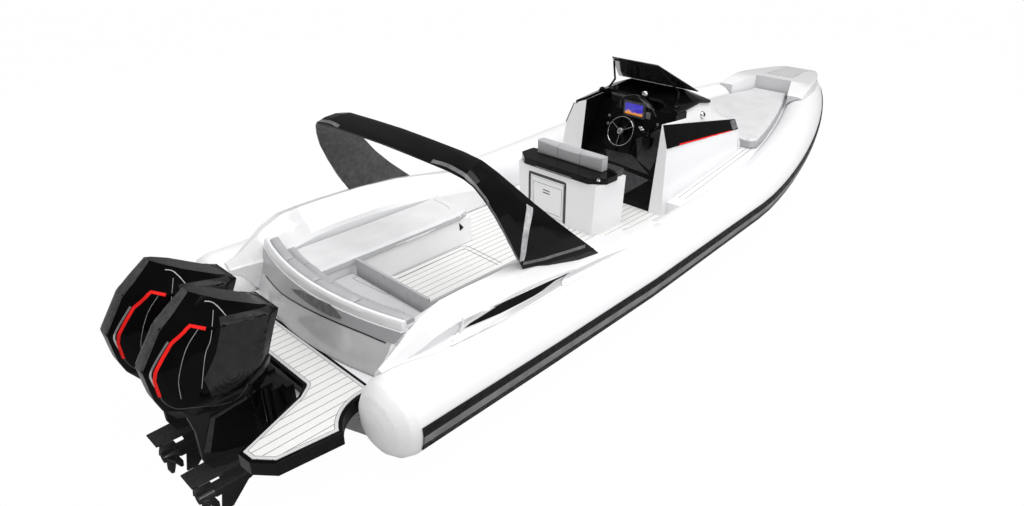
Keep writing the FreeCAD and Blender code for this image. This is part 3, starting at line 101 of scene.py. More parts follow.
class Wiring:
    """A node tree and a short way to add a node with its values and what feeds it."""

    def __init__(self, tree):
        self.tree = tree

    def add(self, kind, inputs=(), **settings):
        item = self.tree.nodes.new("ShaderNode" + kind)
        for key, value in settings.items():
            setattr(item, key, value)
        for key, value in dict(inputs).items():
            if isinstance(value, bpy.types.NodeSocket):
                self.tree.links.new(value, item.inputs[key])
            else:
                item.inputs[key].default_value = value
        return item.outputs


class Shader(Wiring):
    """A Principled material and short ways to wire what feeds it."""

    def __init__(self, name, colour, roughness, **sockets):
        self.material = bpy.data.materials.new(name)
        self.material.use_nodes = True
        super().__init__(self.material.node_tree)
        self.main = self.tree.nodes["Principled BSDF"].inputs
        self.main["Base Color"].default_value = (*colour, 1)
        self.main["Roughness"].default_value = roughness
        for label, value in sockets.items():
            self.main[label.replace("_", " ")].default_value = value
        self.place = self.add("TexCoord")["Object"]

    def feed(self, label, source):
        self.tree.links.new(source, self.main[label])

    def colour(self, source):
        self.feed("Base Color", source)

    def rough(self, source):
        self.feed("Roughness", source)

    def bump(self, height, distance, strength):
        inputs = {"Height": height, "Distance": distance, "Strength": strength}
        self.feed("Normal", self.add("Bump", inputs)["Normal"])

    def coordinates(self, stretch=(1, 1, 1)):
        return self.add("Mapping", {"Vector": self.place, "Scale": stretch})["Vector"]

    def split(self):
        return self.add("SeparateXYZ", {0: self.coordinates()})

    def noise(self, scale, detail, stretch=(1, 1, 1)):
        inputs = {"Vector": self.coordinates(stretch), "Scale": scale, "Detail": detail}
        return self.add("TexNoise", inputs)["Fac"]

    def ramp(self, source, low, high, start=0.3, end=0.7):
        """Maps a source from start and end to the values low and high."""
        inputs = {"Value": source, "From Min": start, "From Max": end, "To Min": low, "To Max": high}
        return self.add("MapRange", inputs, clamp=True)["Result"]

    def mix(self, factor, low, high):
        """Colour between low and high, each a colour or a socket."""
        low, high = ((*value, 1) if isinstance(value, tuple) else value for value in (low, high))
        return self.add("Mix", {0: factor, 6: low, 7: high}, data_type="RGBA")[2]

    def math(self, operation, first, second=0.0):
        return self.add("Math", {0: first, 1: second}, operation=operation)[0]


def tinted(colour, share):
    return tuple(min(1.0, c * share) for c in colour)


def finish(name, colour, roughness, tone, wear, relief=None, **sockets):
    """A finish with slow changes of tone, uneven gloss and fine relief, each from its own noise.

    tone and wear: noise scale and detail, lowest and highest share of the colour or roughness, and
    optionally where the noise starts and ends to count; relief: scale and detail, distance, strength.
    """
    shader = Shader(name, colour, roughness, **sockets)
    scale, detail, low, high = tone
    share = shader.ramp(shader.noise(scale, detail), 0, 1)
    shader.colour(shader.mix(share, tinted(colour, low), tinted(colour, high)))
    scale, detail, low, high, *span = wear
    shader.rough(shader.ramp(shader.noise(scale, detail), roughness * low, roughness * high, *span))
    if relief:
        shader.bump(shader.noise(*relief[:2]), *relief[2:])
    return shader.material


def gelcoat(name, colour, roughness=0.16):
    return finish(name, colour, roughness, (1.7, 2, 0.975, 1.01), (9, 3, 0.8, 1.35), (3, 2, 0.0012, 0.25),
                  Coat_Weight=0.5, Coat_Roughness=0.06)


def rubber(name, colour, roughness):
    return finish(name, colour, roughness, (6, 4, 0.8, 1.35), (30, 4, 0.85, 1.15), (320, 3, 0.0004, 0.4),
                  Specular_IOR_Level=0.2)


def gloss_black(name, colour=(0.0025, 0.0025, 0.0027), roughness=0.07, specular=0.12):
    return finish(name, colour, roughness, (5, 4, 1, 1.6), (24, 5, 1, 2.2, 0.4, 0.75), (2.5, 2, 0.001, 0.2),
                  Coat_Weight=0.04, Coat_Roughness=0.03, Specular_IOR_Level=specular)


def satin_dark(name, colour, roughness=0.34):
    return finish(name, colour, roughness, (18, 5, 0.75, 1.4), (60, 4, 0.8, 1.25), (420, 3, 0.0003, 0.35),
                  Coat_Weight=0.1, Coat_Roughness=0.2, Specular_IOR_Level=0.2)


def tube_fabric(name, colour):
    """Coated fabric: satin, with a very fine weave and slow ripples."""
    shader = Shader(name, colour, 0.42, Coat_Weight=0.12, Coat_Roughness=0.3)
    weave, slow = shader.noise(900, 2), shader.noise(2.2, 3)
    shader.colour(shader.mix(shader.ramp(slow, 0, 1), tinted(colour, 0.97), colour))
    shader.rough(shader.ramp(shader.noise(14, 3), 0.36, 0.5))
    shader.bump(shader.math("ADD", shader.math("MULTIPLY", weave, 0.05), slow), 0.002, 0.3)
    return shader.material


def brushed(name, colour, roughness):
    shader = Shader(name, colour, roughness, Metallic=1.0)
    grain = shader.noise(40, 4, (1, 30, 1))
    shader.rough(shader.ramp(grain, roughness * 0.7, roughness * 1.4))
    shader.colour(shader.mix(shader.ramp(grain, 0, 1), tinted(colour, 0.85), tinted(colour, 1.1)))
    shader.bump(grain, 0.0002, 0.3)
    return shader.material


def chrome(name):
    shader = Shader(name, (0.82, 0.82, 0.83), 0.06, Metallic=1.0)
    shader.rough(shader.ramp(shader.noise(35, 4), 0.03, 0.12))
    return shader.material


def glass(name, colour):
    shader = Shader(name, colour, 0.05, Coat_Weight=0.4, Coat_Roughness=0.02, Alpha=0.93)
    shader.rough(shader.ramp(shader.noise(7, 3), 0.03, 0.1))
    return shader.material


def vinyl(name, colour):
    """Marine upholstery: fine leather grain, slow tone change and soft sheen."""
    roughness = 0.45
    shader = Shader(name, colour, roughness, Sheen_Weight=0.25, Sheen_Roughness=0.4)
    cells = shader.add("TexVoronoi", {"Vector": shader.coordinates(), "Scale": 420.0})["Distance"]
    slow = shader.noise(4.5, 4)
    shader.colour(shader.mix(shader.ramp(slow, 0, 1), tinted(colour, 0.93), tinted(colour, 1.04)))
    shader.rough(shader.ramp(shader.noise(22, 4), roughness * 0.85, roughness * 1.15))
    height = shader.math("ADD", shader.math("MULTIPLY", cells, 0.35), shader.math("MULTIPLY", slow, 0.9))
    shader.bump(height, 0.0016, 0.4)
    return shader.material


def planks(name, pitch, line=0.007, colour=(0.80, 0.80, 0.79), seam=(0.20, 0.20, 0.205)):
    """Deck covering with dark seams every pitch metres across the boat."""
    shader = Shader(name, colour, 0.62)
    spot = shader.math("ADD", shader.split()["Y"], 100 * pitch)
    within = shader.math("SUBTRACT", shader.math("FLOORED_MODULO", spot, pitch), pitch / 2)
    edge = (pitch - line) / 2
    seam_mask = shader.ramp(shader.math("ABSOLUTE", within), 0, 1, edge - 0.0008, edge + 0.0008)
    board = shader.math("FLOOR", shader.math("DIVIDE", spot, pitch))
    tone = shader.add("TexWhiteNoise", {"W": board}, noise_dimensions="1D")["Value"]
    grain = shader.noise(14, 6, (1, 26, 1))
    wood = shader.mix(shader.ramp(grain, 0, 1), tinted(colour, 0.9), tinted(colour, 1.04))
    wood = shader.mix(shader.ramp(tone, 0, 0.25, 0, 1), wood, tinted(colour, 0.93))
    shader.colour(shader.mix(seam_mask, wood, seam))
    shader.rough(shader.ramp(grain, 0.55, 0.75))
    shader.bump(shader.math("SUBTRACT", shader.math("MULTIPLY", grain, 0.3), seam_mask), 0.0012, 0.5)
    return shader.material


# mesh helpers: angles in degrees

BEVEL_FROM_ANGLE, JOIN_ANGLE = 28, 0.6
JOIN_DISTANCE, PLATE_EDGE = 2e-5, 0.0015
DECK_MARGIN, DECK_CAULK = 0.025, 0.004
SINK = 0.004  # how far a laid-on strip or panel goes under the surface
RAY_START = 3  # how far back a ray along a direction starts
PATCH_START, PATCH_REACH = 0.15, 0.4  # where a panel's rays start above it, and their length


def link(name, mesh, body):
    item = new_object(name, mesh)
    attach(item, body)
    return item


def add_mesh(name, vertices, faces, material, body, smooth_angle):
    mesh = bpy.data.meshes.new(name)
    mesh.from_pydata([tuple(v) for v in vertices], [], faces)
    mesh.materials.append(material)
    soften(mesh, smooth_angle)
    item = link(name, mesh, body)
    return item


def soften(mesh, smooth_angle):
    """Joins loose corners, turns faces outward, shades smooth but for edges over an angle."""
    bm = bmesh.new()
    bm.from_mesh(mesh)
    bmesh.ops.remove_doubles(bm, verts=bm.verts, dist=1e-5)
    bmesh.ops.recalc_face_normals(bm, faces=bm.faces)
    limit = math.radians(smooth_angle)
    for face in bm.faces:
        face.smooth = True
    for edge in bm.edges:
        edge.smooth = len(edge.link_faces) == 2 and edge.calc_face_angle(0) < limit
    bm.to_mesh(mesh)
    bm.free()


def modify(item, name, kind, **settings):
    modifier = item.modifiers.new(name, kind)
    for key, value in settings.items():
        setattr(modifier, key, value)


def add_bevel(item, width):
    modify(item, "bevel", "BEVEL", width=width, segments=3, limit_method="ANGLE",
           angle_limit=math.radians(BEVEL_FROM_ANGLE), miter_outer="MITER_ARC", use_clamp_overlap=True)
    modify(item, "normals", "WEIGHTED_NORMAL", keep_sharp=False, weight=80)


def dressed(node, materials, bevel, pick=None, inset=None):
    """A solid's own surface: flat faces rejoined, edges rounded, a material for each face."""
    mesh = nodes[node].data.copy()
    mesh.materials.clear()
    for material in materials:
        mesh.materials.append(material)
    bm = bmesh.new()
    bm.from_mesh(mesh)
    bmesh.ops.remove_doubles(bm, verts=bm.verts, dist=JOIN_DISTANCE)
    bmesh.ops.dissolve_limit(bm, angle_limit=math.radians(JOIN_ANGLE), verts=bm.verts, edges=bm.edges)
    bm.normal_update()
    for face in bm.faces:
        face.smooth = True
        face.material_index = pick(face.calc_center_median(), face.normal) if pick else 0
    if inset:
        inset(bm)
    bm.to_mesh(mesh)
    bm.free()
    if mesh.has_custom_normals:
        mesh.normals_split_custom_set([(0, 0, 0)] * len(mesh.loops))
    item = link(node + "_finish", mesh, nodes[node]["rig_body"])
    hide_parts(node)
    if bevel:
        add_bevel(item, bevel)


def deck_margin(bm):
    """Insets the upward faces by a margin in the second material and a line in the third."""
    top = max(v.co.z for v in bm.verts)
    faces = [f for f in bm.faces if f.normal.z > 0.99 and f.calc_center_median().z > top - 0.002]
    for index, width in ((1, DECK_MARGIN), (2, DECK_CAULK)):
        made = bmesh.ops.inset_region(bm, faces=faces, thickness=width, use_even_offset=True)
        for face in made["faces"]:
            face.material_index = index
            face.smooth = True


def loft(name, rings, material, body, smooth_angle):
    """A capped skin through rings of as many points each."""
    count = len(rings[0])
    vertices = [p for ring in rings for p in ring]
    faces = []
    for k in range(len(rings) - 1):
        for j in range(count):
            a, b = k * count + j, k * count + (j + 1) % count
            faces.append((a, b, b + count, a + count))
    faces.append(tuple(range(count)))
    faces.append(tuple((len(rings) - 1) * count + j for j in reversed(range(count))))
    return add_mesh(name, vertices, faces, material, body, smooth_angle)


def curved(points, step, smooth):
    """Points a step apart on a smooth curve, or on straight runs, through the given ones."""
    points = [Vector(p) for p in points]
    dense = []
    for k in range(len(points) - 1):
        a, b = points[k], points[k + 1]
        before, after = points[max(k - 1, 0)], points[min(k + 2, len(points) - 1)]
        count = max(2, int((b - a).length / step) + 1)
        for j in range(count):
            t = j / count
            if smooth:
                dense.append(0.5 * ((2 * a) + (b - before) * t + (2 * before - 5 * a + 4 * b - after) * t * t
                                    + (3 * a - before - 3 * b + after) * t ** 3))
            else:
                dense.append(a.lerp(b, t))
    dense.append(points[-1])
    return dense


def circle(u, v, radius, sides):
    """Offsets round a circle in the plane of two directions."""
    turns = (2 * math.pi * j / sides for j in range(sides))
    return [(u * math.cos(a) + v * math.sin(a)) * radius for a in turns]


def rail(name, points, radius, material, body, step, sides=12, smooth=True):
    """A round bar along a path, with sections that don't twist."""
    path = curved(points, step, smooth)
    rings, across = [], None
    for k, p in enumerate(path):
        along = (path[min(k + 1, len(path) - 1)] - path[max(k - 1, 0)]).normalized()
        if across is None:
            across = along.orthogonal().normalized()
        across = (across - along * across.dot(along)).normalized()
        rings.append([p + q for q in circle(across, along.cross(across), radius, sides)])
    return loft(name, rings, material, body, 50)


def turned(name, profile, place, axis, material, body, segments=32):
    """A lathe form: profile of (radius, height) pairs along an axis from a place."""
    axis = Vector(axis).normalized()
    u = axis.orthogonal().normalized()
    v = axis.cross(u)
    rings = [[Vector(place) + axis * h + q for q in circle(u, v, max(r, 1e-4), segments)]
             for r, h in profile]
    return loft(name, rings, material, body, 35)


def plate(name, x, ys, zs, material, body, thick=0.004):
    """An upright plate across the boat with its edges rounded."""
    size = Vector((thick, ys[1] - ys[0], zs[1] - zs[0]))
    middle = Vector((x, (ys[0] + ys[1]) / 2, (zs[0] + zs[1]) / 2))
    bm = bmesh.new()
    bmesh.ops.create_cube(bm, size=1)
    for v in bm.verts:
        v.co = v.co * size
    bmesh.ops.bevel(bm, geom=bm.edges[:], offset=PLATE_EDGE, segments=3, profile=0.5, affect="EDGES")
    corners = [v.co + middle for v in bm.verts]
    faces = [tuple(v.index for v in f.verts) for f in bm.faces]
    bm.free()
    return add_mesh(name, corners, faces, material, body, 35)


class Skin:
    """The surface of a node or piece, for what lies on it."""

    def __init__(self, owner):
        if isinstance(owner, str):
            mesh, self.body = nodes[owner].data, nodes[owner]["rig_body"]
        else:
            mesh, self.body = owner.data, body_of(owner)[0]
        faces = [tuple(f.vertices) for f in mesh.polygons]
        self.tree = BVHTree.FromPolygons([v.co for v in mesh.vertices], faces)

    def near(self, point):
        place, normal, _, _ = self.tree.find_nearest(Vector(point))
        return place, normal

    def hit(self, point, toward):
        """Where a ray meets the surface: along a direction, or without one from the camera."""
        point = Vector(point)
        start = Vector(CAMERA_PLACE) if toward is None else point - Vector(toward).normalized() * RAY_START
        way = (point - start).normalized()
        place, normal, _, _ = self.tree.ray_cast(start, way)
        return (place, normal) if place is not None else self.near(point)

    def path(self, points, toward=None):
        return [self.hit(p, toward)[0] for p in points]

    def laid(self, points):
        return [self.near(p)[0] for p in points]


def ribbon(name, skin, path, width, material, lift, columns=2, step=0.03, smooth=True):
    """A raised strip that follows a surface; width is a number or pairs of (share of length, width)."""
    points = skin.laid(curved(path, step, smooth))
    rings = []
    for k, p in enumerate(points):
        normal = skin.near(p)[1]
        along = points[min(k + 1, len(points) - 1)] - points[max(k - 1, 0)]
        side = along.cross(normal)
        if side.length < 1e-9:
            continue
        side.normalize()
        share = k / (len(points) - 1)
        wide = width if isinstance(width, float) else float(np.interp(share, *zip(*width)))
        ring = []
        for j in range(columns + 1):
            place, up = skin.near(p + side * wide * (j / columns - 0.5))
            if j == 0:
                ring.append(place - up * SINK)
            ring.append(place + up * lift)
            if j == columns:
                ring.append(place - up * SINK)
        rings.append(ring)
    return loft(name, rings, material, skin.body, 50)


def patch(name, skin, outline, material, lift, grid=0.04, smooth=False):
    """A raised panel inside a closed outline, laid on a surface."""
    outline = [Vector(p) for p in outline]
    centre = sum(outline, Vector()) / len(outline)
    pairs = zip(outline, outline[1:] + outline[:1])
    up = sum(((a - centre).cross(b - centre) for a, b in pairs), Vector()).normalized()
    if skin.near(centre)[1].dot(up) < 0:
        up = -up
    u = up.orthogonal().normalized()
    v = up.cross(u)
    edge = curved(outline + outline[:1], grid, smooth)[:-1]
    flat = [Vector(((p - centre).dot(u), (p - centre).dot(v))) for p in edge]
    low = [min(p[k] for p in flat) for k in (0, 1)]
    high = [max(p[k] for p in flat) for k in (0, 1)]
    inner = []
    for i in range(1, int((high[0] - low[0]) / grid) + 1):
        for j in range(1, int((high[1] - low[1]) / grid) + 1):
            spot = Vector((low[0] + i * grid, low[1] + j * grid))
            if min((spot - q).length for q in flat) > grid * 0.5:
                inner.append(spot)
    edges = [(k, (k + 1) % len(flat)) for k in range(len(flat))]
    spots, _, triangles, *_ = delaunay_2d_cdt(flat + inner, edges, [], 1, 1e-6)
    top, base = [], []
    for spot in spots:
        point = centre + u * spot.x + v * spot.y
        place, normal, _, _ = skin.tree.ray_cast(point + up * PATCH_START, -up, PATCH_REACH)
        if place is None:
            place, normal = skin.near(point)
        top.append(place + normal * lift)
        base.append(place - normal * SINK)
    count = len(spots)
    faces = [tuple(t) for t in triangles] + [tuple(count + i for i in reversed(t)) for t in triangles]
    used = {edge: True for t in triangles for edge in zip(t, t[1:] + t[:1])}
    faces += [(b, a, a + count, b + count) for a, b in used if (b, a) not in used]
    return add_mesh(name, top + base, faces, material, skin.body, 35)


# floor, light and backdrop

FLOOR_HALF = 60
WATER_CLEAR_SHARE, WATER_CLEAR_SHARE_TO_LIGHT = 0.985, 0.5
GLOSS_DIM = {"To Min": 1.0, "To Max": 0.42}
LIGHTS = {  # place, what it looks at, length and width in metres, power in watts
    "key": ((3.0, -3.0, 11.0), (4.0, 0.0, 0.5), (12, 6), 900),
    "side": ((4.0, -13.0, 6.0), (4.0, 0.0, 0.6), (12, 4), 350),
}
WORLD_FALL = {"From Min": -0.5, "From Max": 0.75, "To Min": 0.12, "To Max": 1.0}


def cleared(owner):
    owner.use_nodes = True
    owner.node_tree.nodes.clear()
    return Wiring(owner.node_tree)


def add_floor():
    """Pale floor at the waterline, mostly clear so that what hangs below it can be seen."""
    mesh = bpy.data.meshes.new("floor")
    h = FLOOR_HALF
    mesh.from_pydata([(-h, -h, 0), (h, -h, 0), (h, h, 0), (-h, h, 0)], [], [(0, 1, 2, 3)])
    floor = new_object("floor", mesh)
    material = bpy.data.materials.new("floor")
    wiring = cleared(material)
    shares = {"To Min": 1 - WATER_CLEAR_SHARE_TO_LIGHT, "To Max": 1 - WATER_CLEAR_SHARE}
    share = wiring.add("MapRange", {"Value": wiring.add("LightPath")["Is Camera Ray"], **shares})[0]
    pale = wiring.add("BsdfDiffuse", {"Color": (0.95, 0.95, 0.95, 1)})[0]
    mix = wiring.add("MixShader", {0: share, 1: wiring.add("BsdfTransparent")[0], 2: pale})[0]
    wiring.add("OutputMaterial", {"Surface": mix})
    mesh.materials.append(material)


def add_world():
    """White to the camera, brighter above than below to what it lights, dimmer in reflections."""
    world = bpy.data.worlds.new("studio")
    bpy.context.scene.world = world
    wiring = cleared(world)
    place = wiring.add("TexCoord")["Generated"]
    height = wiring.add("SeparateXYZ", {0: place})["Z"]
    fall = wiring.add("MapRange", {"Value": height, **WORLD_FALL})[0]
    path = wiring.add("LightPath")
    dim = wiring.add("MapRange", {"Value": path["Is Glossy Ray"], **GLOSS_DIM})[0]
    strength = wiring.add("Math", {0: fall, 1: dim}, operation="MULTIPLY")[0]
    lit = wiring.add("Background", {"Strength": strength})[0]
    white = wiring.add("Background", {"Color": (1, 1, 1, 1), "Strength": 1.0})[0]
    rays = {0: path["Is Camera Ray"], 1: path["Is Transmission Ray"]}
    shown = wiring.add("Math", rays, operation="MAXIMUM")[0]
    mix = wiring.add("MixShader", {0: shown, 1: lit, 2: white})[0]
    wiring.add("OutputWorld", {"Surface": mix})


def add_lights():
    for name, (place, target, size, power) in LIGHTS.items():
        light = bpy.data.lights.new(name, "AREA")
        light.shape = "RECTANGLE"
        light.size, light.size_y = size
        light.energy = power
        item = new_object(name, light)
        item.location = place
        item.rotation_euler = (Vector(target) - Vector(place)).to_track_quat("-Z", "Y").to_euler()


add_camera()
add_floor()
add_world()
add_lights()
bpy.context.scene.view_settings.view_transform = "Standard"


# materials in use

WHITE = (0.86, 0.86, 0.87)


def use(material):
    return material


white = use(gelcoat("gelcoat_white", WHITE))
shade = use(gelcoat("gelcoat_grey", (0.5, 0.5, 0.51), 0.3))
pale_shade = use(gelcoat("gelcoat_pale_grey", (0.56, 0.56, 0.57), 0.14))
grey_line = use(satin_dark("line_grey", (0.3, 0.3, 0.31)))
dark_line = use(satin_dark("line_dark", (0.035, 0.035, 0.037)))
dark_grey = use(satin_dark("dark_grey", (0.05, 0.05, 0.053)))
# grey lighter than the gloss black, painted on dash facets as their reflections
facet_reflection_grey = use(satin_dark("facet_painted_reflection", (0.025, 0.025, 0.026)))
mid_grey = use(satin_dark("mid_grey", (0.13, 0.13, 0.135)))
tube_white = use(tube_fabric("tube_white", WHITE))
strake_black = use(gloss_black("strake_black", (0.006, 0.006, 0.007), 0.4, 0.14))
strake_grey = use(rubber("strake_grey", (0.18, 0.18, 0.185), 0.4))
black = use(gloss_black("black_gloss"))
pit = use(rubber("shadow_black", (0.002, 0.002, 0.002), 0.7))
engine_black = use(gloss_black("engine_black", (0.002, 0.002, 0.0022), 0.09, 0.05))
engine_grey = use(satin_dark("engine_grey", (0.05, 0.05, 0.052), 0.3))
engine_panel = use(satin_dark("engine_panel", (0.014, 0.014, 0.0145), 0.32))
arch_grey = use(satin_dark("arch_grey", (0.06, 0.06, 0.062), 0.3))
engine_dark = use(satin_dark("engine_dark", (0.004, 0.004, 0.0045)))
# lighter grey painted on the plates' tops as the light on them; also the strip along the leg's edge
plate_grey = use(satin_dark("plate_grey", (0.03, 0.03, 0.031), 0.28))
red = use(gloss_black("red_enamel", (0.75, 0.012, 0.01), 0.25))
silver = use(brushed("silver_trim", (0.62, 0.62, 0.63), 0.3))
steel = use(brushed("propeller_steel", (0.16, 0.16, 0.165), 0.12))
bright = use(chrome("stainless"))
smoked = use(glass("tinted_glass", (0.006, 0.006, 0.007)))
pad_light = use(vinyl("vinyl_light", (0.74, 0.74, 0.75)))
pad_sun = use(vinyl("vinyl_sunpad", (0.66, 0.66, 0.67)))
pad_aft = use(vinyl("vinyl_aft_seat", (0.58, 0.58, 0.59)))
pad_grey = use(vinyl("vinyl_grey", (0.42, 0.42, 0.43)))
thread = use(rubber("seam_thread", (0.06, 0.06, 0.062), 0.7))
deck = use(planks("deck_foam", 0.083))
deck_cross = use(planks("deck_foam_cross", 0.062, 0.012, (0.6, 0.6, 0.6), (0.3, 0.3, 0.3)))
deck_edge = use(tube_fabric("deck_foam_edge", (0.62, 0.62, 0.62)))
deck_line = use(rubber("deck_foam_line", (0.1, 0.1, 0.1), 0.7))
black_vinyl = use(vinyl("vinyl_black", (0.012, 0.012, 0.013)))
# dark grey painted into the bulkhead's crescent recess as its shade
recess_shade = use(satin_dark("recess_painted_shade", (0.14, 0.14, 0.142), 0.4))
mid_pale = use(satin_dark("strip_grey", (0.42, 0.42, 0.43), 0.3))


# the solids with their finishes


def strake_band(centre, normal):
    return int(-0.23 < normal.z < 0)


def aft_face(centre, normal):
    return int(normal.x < -0.55 and normal.z < 0.8)


def inner_face(centre, normal):
    return int(centre.y * normal.y < -0.3 * abs(centre.y) and centre.z < 1.95)


def upward(centre, normal):
    return int(normal.z > 0.8)


# painted light: the upward faces low on the leg, the plates' tops, get a lighter grey for the light falling
# on them
def lit_plate_tops(centre, normal):
    return int(normal.z > 0.8 and centre.z < 0.1)


def console_part(centre, normal):
    """Inner walls are black, the aft edge grey, all else white."""
    if abs(normal.y) > 0.5 and centre.y * normal.y < 0 and centre.z > 0.45:
        return 2
    return int(normal.x < -0.7 and centre.z < 1.0)


def sided(table):
    """A table whose names with a star stand for the port and the starboard piece."""
    return {name.replace("*", side): value for name, value in table.items() for side, _ in SIDES}


PLAIN = {
    "hull": white, "foredeck": white, "lounge_base": white, "coaming_*": white, "helm_seat_module": white,
    "helm_seat_door": white, "tube_*": tube_white, "console_hood": black, "console_panel_*": black,
    "helm_dash": black, "helm_seat_tray": black, "screen_strut_*": black, "steering_column": black,
    "steering_wheel": black, "swim_platform": black, "bow_eye": bright, "stern_eye_*": bright,
    "throttle_control": black, "dash_display": dark_grey, "windscreen": smoked, "cockpit_teak": deck,
    "swivel_bracket_*": engine_dark, "transom_bracket_*": engine_dark, "propeller_*": steel,
    "seat_surround": shade, "engine_cowl_*": engine_black,
}
PAINTED = {
    "arch": ((black, arch_grey), inner_face),
    "rub_strake_*": ((strake_black, strake_grey), strake_band),
    "engine_leg_*": ((engine_dark, plate_grey), lit_plate_tops),
    "bow_step": ((white, pale_shade), aft_face),
    "console_body": ((white, pale_shade, black), console_part),
}
SMALL_BEVEL = sided({
    "windscreen": 0.0015, "dash_display": 0.002, "steering_wheel": 0.0, "rub_strake_*": 0.002,
    "propeller_*": 0.0015, "cockpit_teak": 0.0015, "helm_seat_door": 0.003, "throttle_control": 0.004,
})
BEVEL, DECK_BEVEL = 0.006, 0.0015
for node, material in sided(PLAIN).items():
    dressed(node, (material,), SMALL_BEVEL.get(node, BEVEL))
for node, (materials, pick) in sided(PAINTED).items():
    dressed(node, materials, SMALL_BEVEL.get(node, BEVEL), pick)
for node, boards in (("platform_teak", deck), ("bow_step_teak", deck_cross)):
    dressed(node, (boards, deck_edge, deck_line), DECK_BEVEL, inset=deck_margin)


# places read from the photograph

FRAME_HALF = (512, 253)  # half of the photograph's width and height
SENSOR_HALF = 18  # half of the camera's film width in millimetres


def pixel_way(u, v):
    """Direction of the camera's ray through a point of the photograph."""
    half = SENSOR_HALF / CAMERA_LENS
    across, down = (u - FRAME_HALF[0]) / FRAME_HALF[0], (v - FRAME_HALF[1]) / FRAME_HALF[0]
    yaw, pitch = math.radians(CAMERA_YAW), math.radians(CAMERA_PITCH_DOWN)
    right = Vector((math.sin(yaw), -math.cos(yaw), 0))
    ahead = Vector((math.cos(yaw) * math.cos(pitch), math.sin(yaw) * math.cos(pitch), -math.sin(pitch)))
    up = right.cross(ahead)
    return (ahead + right * (across * half) - up * (down * half)).normalized()


def seen(skin, pixels):
    """Where the camera's rays through points of the photograph meet a surface; misses are left out."""
    start = Vector(CAMERA_PLACE)
    found = [skin.tree.ray_cast(start, pixel_way(u, v))[0] for u, v in pixels]
    return [p for p in found if p is not None]


def both_sides(points):
    """The same points, found on the starboard side, for each side of the boat."""
    for side, sign in SIDES:
        yield side, [Vector((p.x, -sign * p.y, p.z)) for p in points]


# outboards: everything is placed on the starboard engine's outer side, then copied and mirrored

ENGINE_Y = 0.33
FLANK_Y = {"cowl": -0.56, "leg": -0.43}
RIB_CENTRE, RIB_RADII, RIB_ANGLES = (-.90, .80), (0.05, 0.085, 0.12, 0.155), range(190, 351, 16)
ENGINE_MOVES = (("starboard", 0.0), ("port", 2 * ENGINE_Y))
ENGINE_STRIPS = {  # solid, path in x and z, width, material, other settings
    "red_stripe": (
        "cowl", [(-1.413, .883), (-1.419, 1.02), (-1.398, 1.081), (-1.333, 1.161), (-1.256, 1.244),
                 (-1.111, 1.32), (-1.015, 1.249)], 0.024, red, {"lift": 0.004, "smooth": False}),
    "silver_stripe": (
        "cowl", [(-1.41, .914), (-1.433, 1.033), (-1.428, 1.092), (-1.358, 1.179), (-1.272, 1.267)],
        0.014, silver, {"lift": 0.0035}),
    # painted highlight: a silver line stands in for the light caught along a panel line near the cowl's top
    "cowl_top_highlight": (
        "cowl", [(-.981, 1.458), (-.923, 1.418), (-.855, 1.273)], 0.007, silver, {"lift": 0.002}),
    "cowl_front_line": (
        "cowl", [(-.937, 1.366), (-.998, 1.156), (-1.063, 1.04), (-1.137, .796)],
        0.004, grey_line, {"lift": 0.002}),
    "cowl_base_line": (
        "cowl", [(-1.413, .883), (-1.355, .757), (-1.139, .58), (-.928, .571), (-.787, .679), (-.591, .737)],
        0.010, engine_grey, {"lift": 0.002}),
    "cowl_aft_line": (
        "cowl", [(-1.049, 1.285), (-1.172, 1.159), (-1.268, .957), (-1.286, .793)],
        0.004, grey_line, {"lift": 0.002}),
    "cowl_bar": (
        "cowl", [(-.80, .66), (-.73, .70), (-.57, .755), (-.53, .76)],
        ((0, .03), (.3, .045), (.8, .06), (1, .05)), engine_panel, {"lift": 0.016, "columns": 5}),
    "leg_edge": (
        "leg", [(-.70, .50), (-1.07, .415), (-1.11, .30), (-1.17, .14)],
        ((0, .02), (.45, .03), (1, .05)), plate_grey, {"lift": 0.010, "columns": 3, "smooth": False}),
}
for rib, radius in enumerate(RIB_RADII):
    turns = [math.radians(a) for a in RIB_ANGLES]
    arc = [(RIB_CENTRE[0] + radius * math.cos(a), RIB_CENTRE[1] + radius * math.sin(a)) for a in turns]
    ENGINE_STRIPS[f"cowl_rib_{rib}"] = ("cowl", arc, 0.012, engine_dark, {"lift": 0.004, "columns": 3})
ENGINE_PANELS = {  # solid, outline in x and z, material, how far it stands out
    "cowl_panel": (
        "cowl", [(-.911, 1.298), (-.53, 1.25), (-.595, .80), (-.789, .726), (-.958, .67), (-1.086, .699),
                 (-1.108, .868), (-.981, 1.04)], engine_panel, 0.003),
    "leg_panel": (
        "leg", [(-1.041, .421), (-.665, .505), (-.764, .251), (-.673, .091), (-.882, .017), (-1.15, .12)],
        engine_black, 0.004),
}
SPINE = [(-1.30, 1.475), (-1.372, 1.40), (-1.43, 1.15), (-1.437, .98), (-1.41, .80), (-1.372, .63)]
SPINE_WIDTHS = ((0, 0.10), (0.2, 0.14), (0.6, 0.14), (1, 0.09))
PLATE_LINE = [(-1.30, -.44, -.16), (-1.15, -.44, -.16), (-.80, -.40, -.16)]


